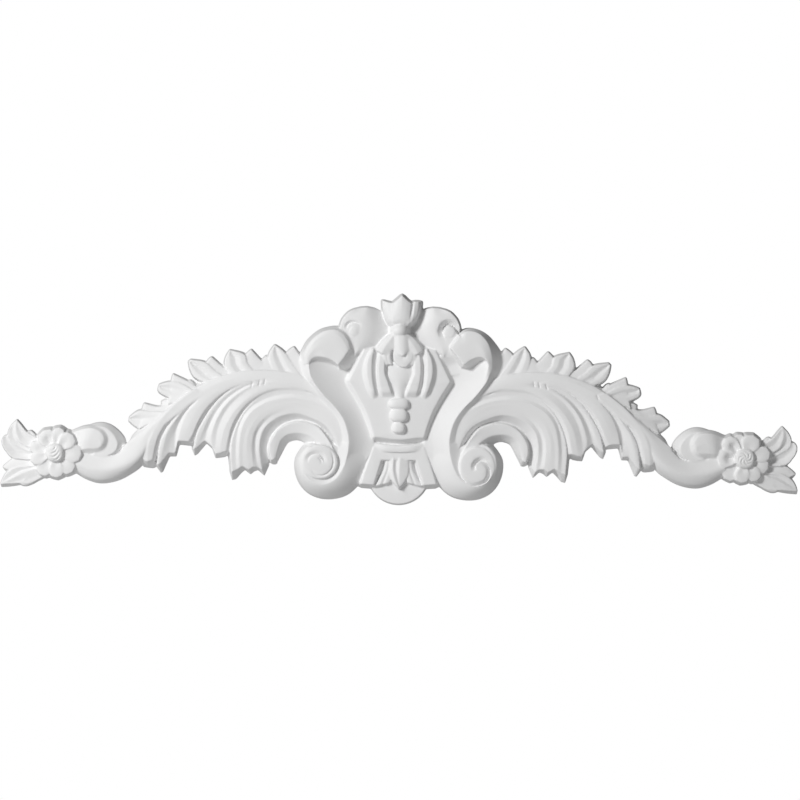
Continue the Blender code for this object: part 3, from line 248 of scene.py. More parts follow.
def makeFoot():
    v = footValues
    yield bead(v["discCentre"], v["discRadius"], v["discRadius"], v["discHeight"], 0.0, draft=0.2)
    upper = ((-32, -47), (-17, -50.3), (0, -51.3), (17, -50.3), (32, -47))
    lower = ((-29, -56), (-14, -58.3), (0, -58.8), (14, -58.3), (29, -56))
    band = v["bandHeight"]
    yield strip(upper, lower, (band - 5, band - 1.2, band - 0.8, band - 1.2, band - 5),
                (band - 4, band - 0.5, band, band - 0.5, band - 4), bulge=0.8, draft=0.15)
    yield strip(((-29, -54), (0, -56), (29, -54)), ((-22, -67.5), (0, -67.5), (22, -67.5)), v["frameHeight"])
    for half in (mirrored, list):
        outer = half(((28, -53), (36, -74), (42.5, -94.5)))
        inner = half(((17, -57), (20.5, -70), (28, -95.5)))
        yield strip(outer, inner, v["frameHeight"], draft=0.35)
        outer = half(((14, -66), (17, -80), (26, -97)))
        inner = half(((6, -66), (8, -80), (10, -93)))
        yield strip(outer, inner, v["leafHeight"], v["leafHeight"] + 0.5, bulge=0.8, vein=1.2)
    leaf = v["middleLeafHeight"]
    yield fan(((((-9.5, -66), (-10, -80), (-7, -91), (0.3, -99.3)), leaf - 1),
               (((-6, -66), (-6.5, -79), (-4, -90.5), (0.4, -99.3)), leaf + 1),
               (((-2.5, -66), (-3, -78), (-1, -90), (0.5, -99.3)),
                (leaf - 1.5, leaf - 1.5, leaf - 1, leaf - 1)),
               (((1, -66), (0.5, -78), (0.5, -90), (0.6, -99.3)), (leaf + 1, leaf + 1, leaf, leaf - 1)),
               (((10.5, -66), (11, -80), (7.5, -90), (0.8, -99.3)), leaf - 1)), draft=0.25)


vaseValues = {
    "height": 20.5,
    "swell": 2,
    "panelHeight": 19.5,
    "foldHeight": 25,
    # each bead: height of its centre, half width, half height, rise
    "beads": ((-4.5, 11.7, 6.3, 5), (-17.5, 10.2, 7.6, 5), (-31.7, 7.5, 6.1, 4.4)),
}


def makeVase():
    v = vaseValues
    left = ((-14.5, 42), (-12.5, 34), (-11.5, 27), (-7, 17), (-4, 8), (-3.3, 0))
    right = ((16, 42), (15, 34), (13.5, 27), (8, 17), (5, 8), (4.2, 0))
    yield strip(left, right, (20, 21, 21.5, 21, 20.5, 20.5), bulge=v["swell"], draft=0.2)
    for centre, wide, tall, rise in v["beads"]:
        yield bead((0, centre), wide, tall, v["height"] + 0.5, rise, square=2.6, draft=0.25)
    low = v["panelHeight"]
    high = v["foldHeight"]
    along = (high - 2, high - 0.5, high, high, high, high, high - 0.5, high - 1, low)
    outer = ((((32, 58), (38.5, 48), (42.5, 36), (42, 25), (39, 14), (35, 5), (33.5, 1)), low - 1),
             (((30.5, 57.5), (35.5, 46), (37, 36), (36.3, 26), (33, 14), (30, 6), (29, 1)), along),
             (((29, 57), (31, 46), (31.5, 36), (31, 26), (29.5, 16), (27.5, 7), (26.5, 2)), along),
             (((26.5, 53), (26.2, 44), (26, 36), (26, 26), (25, 14), (23, 7), (22, 2)), low - 1))
    inner = ((((25, 52), (26.3, 45), (26.6, 37), (26.4, 25), (25, 14), (23, 7), (21.5, 2.5)), low - 0.5),
             (((22, 52), (23.5, 44), (24, 37), (23.5, 26), (21.5, 15), (19.5, 8), (18, 3)), along),
             (((18.5, 50), (17.5, 44), (17, 37.5), (17, 30), (13, 19), (9.5, 9), (8, 3)), along),
             (((16.5, 50), (15, 44), (14, 37.5), (13.5, 30), (9.5, 19), (6.5, 9), (5.5, 3)), low))
    for rails in (outer, inner):
        yield fan(rails, draft=0.2)
        yield fan([(mirrored(line), rise) for line, rise in rails], draft=0.2)


crownValues = {
    "ballHeight": 30.5,
    "petalHeight": 26,
    "lowPetalHeight": 24,
}

# The crown from its left petal to its right one: line from the ball to the top edge, and heights along it
crownRails = (
    (((-9.5, 81), (-15, 88), (-18, 96), (-19.5, 104), (-20, 112)), (13, 16, 17.5, 18, 18, 17.5)),
    (((-7.5, 81), (-11.5, 88), (-13.5, 96), (-14.5, 104), (-14.5, 110)), (18.5, 23, 24.5, 24, 22.5, 21.5)),
    (((-5.5, 81), (-8, 88), (-8.8, 96), (-9, 103), (-9, 108.8)), (20.5, 26, 27, 26, 24, 22.8)),
    (((-5, 81), (-7, 88), (-7.6, 96), (-7.6, 103), (-7.5, 109.2)), (20.7, 26.3, 27.4, 27.2, 26.5, 25.7)),
    (((-2.5, 81), (-3, 89), (-3.2, 98), (-3, 107), (-2.5, 113.2)), (21.5, 27.3, 28.4, 28.5, 28, 27)),
    (((0.5, 81), (1, 89), (1.5, 99), (2, 109), (2.3, 117.5)), (22, 27.8, 28.9, 29, 28.3, 27.2)),
    (((3.5, 81), (5, 89), (6.5, 98), (7.3, 106), (7.8, 112.2)), (21.5, 27.3, 28.4, 28.5, 27.8, 26.8)),
    (((6, 81), (9, 89), (11, 97), (12, 103), (12.6, 108.5)), (20.5, 26.2, 27.2, 27, 26.3, 25.5)),
    (((7, 81), (10.5, 88), (12.3, 94), (12.8, 98), (12.9, 101.5)), (20, 25.8, 26.4, 25.5, 24.2, 22.5)),
    (((9, 81), (13.5, 88), (15, 96), (15.6, 103), (15.8, 110.5)), (18, 24.6, 26, 25.8, 25.2, 24.5)),
    (((10.5, 81), (16.5, 88.5), (19.5, 96), (20.5, 103), (20.7, 110.5)), (16, 21.5, 23.4, 23.6, 23.3, 23)),
    (((11.5, 81), (19, 89), (22, 97), (23.3, 103), (24, 110.5)), (13, 15.5, 17, 18, 18.5, 18.5)),
)


def makeCrown():
    v = crownValues
    high = v["petalHeight"]
    low = v["lowPetalHeight"]
    yield fan(crownRails, draft=0.12)
    yield bead((0, 78), 9.3, 8.3, 21, v["ballHeight"] - 21)
    for half in (mirrored, list):
        top = half(((9.5, 74), (17, 68), (23, 61), (26, 55.5)))
        middle = half(((7, 73), (12, 66), (17, 59), (20.5, 52)))
        bottom = half(((4, 72), (5, 65), (6.5, 58.5), (14.5, 50.8)))
        yield fan(((top, (high - 2, high - 1, high - 2)), (middle, (high, high + 1, high)),
                   (bottom, (high - 1, high - 0.5, high - 1.5))), draft=0.16)
        outer = half(((16.5, 56), (18.5, 50), (17.5, 44), (15.5, 39.5)))
        inner = half(((9, 56), (10, 50), (9.5, 44), (8, 39.8)))
        yield strip(outer, inner, (low, low, low - 0.5), bulge=0.8, vein=0.8, draft=0.1)
    yield fan(((((-5, 72), (-5.3, 64), (-4.6, 57), (-2.2, 52), (1, 50)), high + 0.2),
               (((-1.5, 72), (-1.5, 64), (-1, 57), (0.4, 52), (2.2, 49.6)), high + 1.8),
               (((2.3, 72), (2.5, 64), (3, 57), (3.4, 52), (3.8, 49.4)), high + 2.3),
               (((6, 72), (6.3, 64), (6.4, 57.5), (6.2, 52.5), (5, 49.8)), high + 1.8),
               (((9.5, 72), (9.9, 64), (9.9, 58), (8.8, 53), (6, 50.4)), high + 0.2)), rounded=True,
              draft=0.1)
    yield fan(((((-6, 58), (-7, 51), (-6, 44), (0, 38)), high - 0.8),
               (((-2, 54), (-2, 49), (-0.5, 43.5), (2.5, 37.3)), high - 0.3),
               (((3.5, 52), (4.5, 47), (5, 42.5), (5, 37)), (high - 2.5, high - 1, high, high - 0.3)),
               (((9.5, 54), (9.5, 49), (9, 43.5), (7.3, 37.3)), high - 0.3),
               (((14, 57), (14.3, 51), (13.5, 44), (9, 38)), high - 0.8)), draft=0.1)


scrollValues = {
    "backHeight": 20,
    "archHeight": 28,
    "crestHeight": 24,
    "ribbonLow": 11,
    "rimLow": 7,
    "wallDraft": 0.12,
}


def makeBackScroll():
    v = scrollValues
    high = v["backHeight"]
    outline = ((-50, 49), (-57, 59), (-64, 71), (-67.3, 80), (-65.5, 88.5), (-62, 94), (-57, 98.8),
               (-52, 101.3))
    face = ((-49, 51), (-52.5, 60), (-54.5, 70), (-55.5, 80), (-54, 88), (-51, 94), (-47.5, 99),
            (-44.5, 103.5))
    ridge = ((-48, 53), (-43, 63), (-39.5, 73), (-38.5, 83), (-38.5, 90), (-38.3, 95), (-37.8, 99.5),
             (-37, 104))
    roll = ((-44, 52), (-34, 61), (-28, 72), (-27, 82), (-28, 89), (-29, 94), (-29.3, 98.5), (-29.3, 102.8))
    foot = ((-38, 49), (-24, 57), (-13, 70), (-11, 80), (-15, 88), (-18, 93), (-20.5, 97), (-22, 99.8))
    top = (high, high, high, high, high, high, high - 1, high - 3.5)
    yield fan(((outline, high - 1), (face, top), (ridge, top), (roll, [rise - 3.5 for rise in top]),
               (foot, high - 12)), rounded=True, draft=v["wallDraft"])


def makeHook():
    v = scrollValues
    high = v["archHeight"]
    start = v["crestHeight"]
    foot = ((-113, 38), (-112.5, 50), (-109, 59), (-104.5, 66.5), (-98, 73), (-90, 78.5), (-80, 81.2),
            (-70, 81.5), (-62, 77), (-56, 68), (-52.5, 57))
    shoulder = ((-108, 39), (-108, 50), (-105, 58), (-100.5, 65), (-94.5, 71), (-86.5, 76), (-77.5, 78.5),
                (-69.8, 77.5), (-63.2, 72.8), (-58, 65), (-55, 55.8))
    edge = ((-104.5, 40), (-105, 50), (-102, 57), (-97.5, 63.5), (-91.5, 69), (-84, 73), (-76, 74.5),
            (-70, 73), (-65, 68), (-61, 61.5), (-58, 54.5))
    face = ((-103, 40), (-102, 48), (-99, 53), (-94, 58), (-88, 61.5), (-81, 63.5), (-75, 63), (-70.5, 60.5),
            (-67, 57), (-63.5, 53), (-60.5, 50.5))
    inner = ((-101.5, 40), (-100.5, 43), (-98, 46), (-94, 47.8), (-88, 48), (-82, 46.8), (-77, 44.8),
             (-73, 42.3), (-70.5, 40), (-69.8, 39.3), (-69, 38.7))
    under = ((-101, 39), (-99, 39.3), (-96, 39.5), (-92, 39.7), (-88, 40), (-83, 40), (-79, 40), (-75, 39),
             (-71.5, 38), (-70, 37.3), (-68.7, 36.5))
    yield fan(((foot, (6, 6, 6, 8, 14, 19.5, 20.5)), (shoulder, (18, 23.5, 25, 25.5, 25.5, 25.5, 25.5)),
               (edge, (start, 26, high - 0.8, high - 0.5, high - 0.5, high - 0.5, high - 0.5)),
               (face, (start, 27, high, high, high, high)),
               (inner, (start, 26, high - 0.5, high - 0.5, high - 0.5)),
               (under, (16, 12.5, 12, 12, 12.5, 14))), draft=v["wallDraft"])
    yield bead((-51.5, 77), 5.5, 6.3, v["backHeight"], 1.2)
    lip = ((-69, 38.7), (-65.5, 43), (-61.5, 48.5), (-58, 54.5))
    lipFoot = ((-67.8, 36.6), (-63, 41), (-58.5, 46.5), (-54.3, 55.8))
    cutFoot = ((-68, 34.3), (-56.5, 32.3), (-45.5, 43.5), (-42.5, 50), (-47, 57))
    yield fan(((lip, high - 0.8), (lipFoot, high - 5), (cutFoot, (13, 9, 9.5, 12, 15))),
              draft=v["wallDraft"])


def makeRightHook():
    # drawn on the left like the rest, and turned over to the right
    v = scrollValues
    high = v["archHeight"]
    foot = ((-101.5, 14), (-110, 22), (-117, 31), (-119.5, 42), (-115, 53), (-108.5, 63), (-100, 72.5),
            (-90.5, 78.3), (-80.5, 80.6), (-73, 79.6), (-67.5, 75.5), (-60.5, 67), (-56, 60.3))
    shoulder = ((-97.5, 20), (-103.2, 34), (-104, 44), (-102.5, 55), (-98.5, 65.5), (-92, 73.2),
                (-85.5, 76.8), (-79, 78), (-73.2, 77), (-68.5, 73.3), (-62, 65.5), (-57.3, 59.6))
    face = ((-96.5, 20), (-101, 34), (-100.5, 43), (-98, 50), (-94, 57), (-89, 62), (-83, 65), (-78, 66),
            (-74, 65), (-70, 62), (-64.5, 58), (-60, 55.5))
    inner = ((-95.5, 21), (-99.5, 38), (-98, 44), (-95.5, 47.5), (-92, 48.9), (-88.5, 48.9), (-85.4, 48.2),
             (-82, 46.8), (-78.5, 44.9), (-75.5, 42.5), (-73.7, 40.8), (-72, 39.6))
    under = ((-94.5, 22), (-98.5, 38), (-97, 43), (-94.5, 44.8), (-91, 42.8), (-88, 40.4), (-85.2, 37.8),
             (-82, 35.4), (-79, 34.8), (-76, 35.2), (-74, 35.6), (-71.5, 36.5))
    yield fan(((foot, (10, 9.5, 8.5, 8, 8, 9, 11, 15, 19.5, 20.5)),
               (shoulder, (23, 23.8, 25.3, 26.8, high - 0.5, high - 0.5, high - 0.5)),
               (face, (23, 24.3, 26.5, high, high, high, high)),
               (inner, (22.5, 24, 26, high - 0.5, high - 0.5, high - 0.5, high - 0.5)),
               (under, (20.5, 21.5, 20.5, 14, 12, 12.3, 13, 14))), draft=v["wallDraft"])
    lip = ((-72, 39.6), (-67.5, 46), (-63, 52), (-58, 58.5))
    lipFoot = ((-70, 36.5), (-64.5, 43), (-59.5, 49.5), (-54, 57.5))
    yield fan(((lip, high - 0.6), (lipFoot, (16, 14, 13, 13))), draft=v["wallDraft"])
    yield strip(((-44, 26), (-46, 44), (-48, 63)), ((-76, 30), (-68, 44), (-56, 63)), (12.5, 13, 18.5, 19.5),
                (13.5, 13.5, 18.5, 19.5))
    yield bead((-56.3, 77.3), 5.8, 6.3, v["backHeight"] + 0.3, 0.8, draft=0.1)


# The crest of the ribbon round the volute, from the top over the inner side and the bottom to the outer side
volutePath = ((-56.5, -50), (-58, -63), (-61, -74), (-66.5, -84), (-74, -91.5), (-84, -95.5), (-94, -94),
              (-102, -88.5), (-107.5, -80), (-109, -70), (-106, -60), (-99, -51.5))


def makeRibbon():
    v = scrollValues
    high = v["crestHeight"]
    low = v["ribbonLow"]
    rim = v["rimLow"]
    crest = ((-102.5, 44), (-101, 30), (-96.5, 19), (-85, 4), (-73, -8), (-64, -20), (-59, -32),
             (-56.5, -45), (-57, -58), (-59.5, -68))
    foot = ((-113, 44), (-110, 27), (-101, 14), (-88, -1), (-78, -11), (-69, -22), (-64, -35), (-62.5, -48),
            (-64, -60), (-66, -68))
    inner = ((-60, 42), (-56, 32), (-54, 22), (-44, 5), (-37, -8), (-33, -20), (-29, -32), (-28, -45),
             (-31, -58), (-37, -68))
    yield strip(foot, crest, (12, 13, 17, 20, 20.5, 19.3), high, draft=0.2)
    yield strip(crest, inner, (high - 1, high, high, high, high, high),
                (low + 1.5, low, low, low + 1, low + 3, low + 3.5), bulge=-2.2)
    under = ((-29, -50), (-33, -63), (-38, -78), (-47, -96), (-58, -106.5), (-72, -111), (-87, -111),
             (-100, -106), (-109.5, -96.5), (-115, -83), (-115, -68), (-108, -57))
    yield strip(volutePath, under, (high - 1, high, high, high),
                (low + 2.4, low + 2, 10, rim, rim, rim, 9, 12, 18), bulge=(-3, 0.8, 3, 3.2, 3.2, 3.2, 3),
                draft=0.2)


def drawVolute(valley, drops, disc):
    # the floor that slopes down from the ribbon's crest, the disc on it, and a patch where the roll ends
    high = scrollValues["crestHeight"]
    yield bead((-84, -71), 23, 22, high - 5, 0.0)
    yield strip(volutePath, valley, high, [high - drop for drop in drops])
    yield disc
    yield bead((-95.5, -56.5), 7, 6.5, high - 1.5, 1.0, draft=0.1)


def makeVolute():
    valley = ((-66, -47), (-68, -60), (-68.2, -70), (-70.5, -79.5), (-76, -86.5), (-83.5, -89.5),
              (-91.5, -88.8), (-97.5, -85), (-102, -79), (-105, -70), (-104, -61), (-99, -54))
    disc = bead((-88.5, -70.5), 19.8, 18.6, scrollValues["crestHeight"] + 0.6, 1.2, draft=0.25)
    yield from drawVolute(valley, (4.5, 4.5, 4, 3, 1.5, 0, 0), disc)


def makeRightVolute():
    valley = ((-66, -47), (-68.5, -62), (-68.8, -74), (-71, -83), (-76, -90), (-84, -94.5), (-94, -93),
              (-101.5, -87.5), (-106.5, -80), (-108, -70), (-105, -60.5), (-98.5, -52.5))
    disc = bead((-88.3, -74), 19.2, 21.4, scrollValues["crestHeight"] + 0.8, 0.6, square=2.2, draft=0.35)
    yield from drawVolute(valley, (4.5, 4.5, 4, 1.5, 0, 0, 0), disc)


stemValues = {
    "height": 18.5,
    "upperEdge": 16.5,
    "upper": ((-100, 20), (-112, 26), (-128, 30), (-155, 32), (-185, 29), (-215, 19), (-240, 4), (-262, -14),
              (-288, -37)),
    "lower": ((-84, 0), (-98, 7), (-118, 13.5), (-140, 15.5), (-165, 17.5), (-190, 14), (-215, 5),
              (-238, -9), (-268, -34)),
}

# The stem's far end, from its upper side over the crest to the rolled underside: line and heights along it
stemEndRails = (
    (((-240, 4), (-262, -14), (-275, -25), (-290, -38), (-300, -46), (-308, -55), (-318, -64.5),
      (-332, -66.5), (-350, -64), (-368, -62)), (16.5, 16.5, 16.5, 15, 14, 14)),
    (((-240, 0), (-264, -19), (-278, -32), (-293, -50), (-305, -62), (-318, -70), (-332, -73), (-350, -70.5),
      (-368, -67)), (18.3, 18.5, 18.3, 16.5, 15, 15)),
    (((-240, -4), (-264, -24), (-279, -43), (-289, -59), (-300, -70.5), (-315, -78), (-330, -81),
      (-348, -79.5), (-368, -73)), (18.3, 18.5, 18.5, 18, 17, 16)),
    (((-240, -6), (-265, -28), (-280, -48), (-289, -65), (-301, -77), (-317, -84.5), (-333, -87.5),
      (-350, -85), (-368, -77)), (18, 18, 17.5, 16, 15, 14)),
    (((-240, -8), (-266, -31), (-281, -52), (-289, -70), (-302, -82), (-318, -90), (-335, -93),
      (-351, -89.5), (-368, -80)), (17, 16, 13.5, 11.5, 11, 11)),
    (((-240, -10), (-267, -33), (-282, -55), (-289, -75), (-302, -86), (-318, -94), (-336, -96.8),
      (-352, -92.5), (-368, -83)), (15, 12, 7, 4, 4, 5)),
)


def makeStem():
    v = stemValues
    high = v["height"]
    yield strip(v["upper"], v["lower"], v["upperEdge"], high, bulge=0.9)
    yield fan(stemEndRails, rounded=True, draft=0.1)


curlValues = {
    "rimHeight": 6,
    "bandHeight": 14.5,
    "tongueHeight": 19,
}


def makeEndCurl():
    v = curlValues
    band = v["bandHeight"]
    high = v["tongueHeight"]
    rim = ((-366, -40), (-355, -34.5), (-347, -30.5), (-338, -28.5), (-330, -29.3), (-322, -33), (-314, -40),
           (-309, -48), (-310, -57), (-316, -65), (-326, -69))
    outer = ((-366, -43), (-356, -38), (-348, -34.5), (-339, -32.8), (-331, -34), (-324.5, -38.5),
             (-319.5, -45), (-317, -52), (-319, -59.5), (-325, -64), (-333, -67))
    inner = ((-366, -50), (-356, -45), (-348, -41), (-340, -39), (-334, -41), (-329.5, -45), (-327, -51),
             (-327.5, -57), (-331, -61), (-337, -63), (-344, -64))
    yield fan(((rim, v["rimHeight"]), (outer, (band - 1, band - 0.5, band, band)), (inner, band)),
              draft=0.15)
    yield fan(((inner, band), (((-366, -58), (-350, -52), (-338, -58)), band)), draft=0.1)
    wallTop = ((-368, -37), (-356, -32.5), (-346, -31.5), (-336, -33.5), (-329.5, -39), (-326.5, -47),
               (-328.5, -56))
    top = ((-368, -40), (-356, -36), (-347, -34.8), (-339, -36.8), (-334, -41.5), (-332, -47), (-333.5, -53))
    middle = ((-368, -52), (-356, -49), (-347, -47), (-341, -47), (-338, -48), (-336, -49.5), (-335, -53))
    base = ((-368, -61), (-358, -59), (-350, -57.5), (-343, -57.5), (-339, -57), (-336, -55.5),
            (-334, -53.5))
    wallBase = ((-368, -66), (-358, -65), (-350, -63.5), (-343, -63.5), (-338, -63), (-333, -61),
                (-329, -57.5))
    rise = (11, 15, 18, high, high, high, high)
    yield fan(((wallTop, (6, 9, 12, 13.5, 13.5)), (top, rise), (middle, [level + 0.8 for level in rise]),
               (base, rise), (wallBase, (9, 12, 13, 13, 13))), draft=0.1)


# Each upper leaf: left edge and right edge from root to tip, how far it stands over its neighbours,
# and the depth of its vein
upperLeafValues = {
    "heights": (15, 12.5, 10.5, 9),    # from root to tip
    "swell": 0.5,
    "draft": 0.16,
    "veinWidth": 0.5,
    "leaves": (
        (((-131, 24), (-129, 42), (-128, 53), (-119, 60.5)),
         ((-104, 24), (-108, 40), (-112, 50), (-119, 60.5)), 0, 0),
        (((-141, 26), (-147, 40), (-148.5, 51), (-141.5, 62.5)),
         ((-110, 26), (-120, 40), (-129, 53.5), (-141.5, 62.5)), 1, 2),
        (((-162, 28), (-157.5, 38), (-155, 45), (-151, 49.5)),
         ((-134, 28), (-139, 38), (-143, 45), (-151, 49.5)), 0.5, 0),
        (((-182, 26), (-176, 40), (-174, 50), (-167.5, 57)),
         ((-146, 26), (-152, 40), (-156.5, 45), (-167.5, 57)), 0, 0),
        (((-190, 26), (-198, 37), (-197, 47), (-192, 55.5)),
         ((-160, 28), (-170, 40), (-174, 50.5), (-192, 55.5)), 1, 2),
        (((-222, 14), (-219, 30), (-218, 42), (-212, 48)),
         ((-186, 22), (-193, 32), (-199.5, 37), (-212, 48)), 0, 0),
        (((-215, 15), (-231, 22), (-237, 31), (-239, 40)),
         ((-195, 24), (-207, 32), (-218, 41.5), (-234.5, 44.5)), 1, 2),
        (((-243, 2), (-240, 12), (-239, 17), (-237, 21.5)),
         ((-222, 8), (-228, 14), (-232, 19), (-237, 21.5)), 0.5, 0),
        (((-262, -8), (-258, 10), (-258, 20), (-256, 28.5)),
         ((-224, 8), (-232, 16), (-239, 20.5), (-256, 28.5)), 0, 0),
        (((-240, -2), (-258, -1), (-272, 6), (-271, 15)), ((-231, 10), (-246, 18), (-258, 19.5), (-271, 16)),
         1, 2),
        (((-274, -24), (-268, -15), (-268, -9), (-269, -4)),
         ((-248, -8), (-256, -2), (-262, -0.5), (-268, -3)), 0.5, 0),
        (((-294, -36), (-290, -24), (-290.5, -18), (-290, -12)),
         ((-252, -12), (-262, -8), (-272, -9), (-287, -5)), 0, 0),
        (((-276, -34), (-288, -38), (-297, -34), (-304.5, -28)),
         ((-264, -14), (-280, -14), (-293, -13), (-303.5, -20)), 1, 2),
        (((-312, -56), (-306, -51), (-303, -48.5), (-300.5, -44)),
         ((-280, -30), (-287, -33), (-294, -37), (-299.5, -42)), 0.5, 0),
    ),
}


def makeUpperLeaves():
    v = upperLeafValues
    for left, right, over, vein in v["leaves"]:
        heights = [height + over for height in v["heights"]]
        yield strip(left, right, heights, bulge=v["swell"], vein=vein, outline=True,
                    veinWidth=v["veinWidth"], draft=v["draft"])


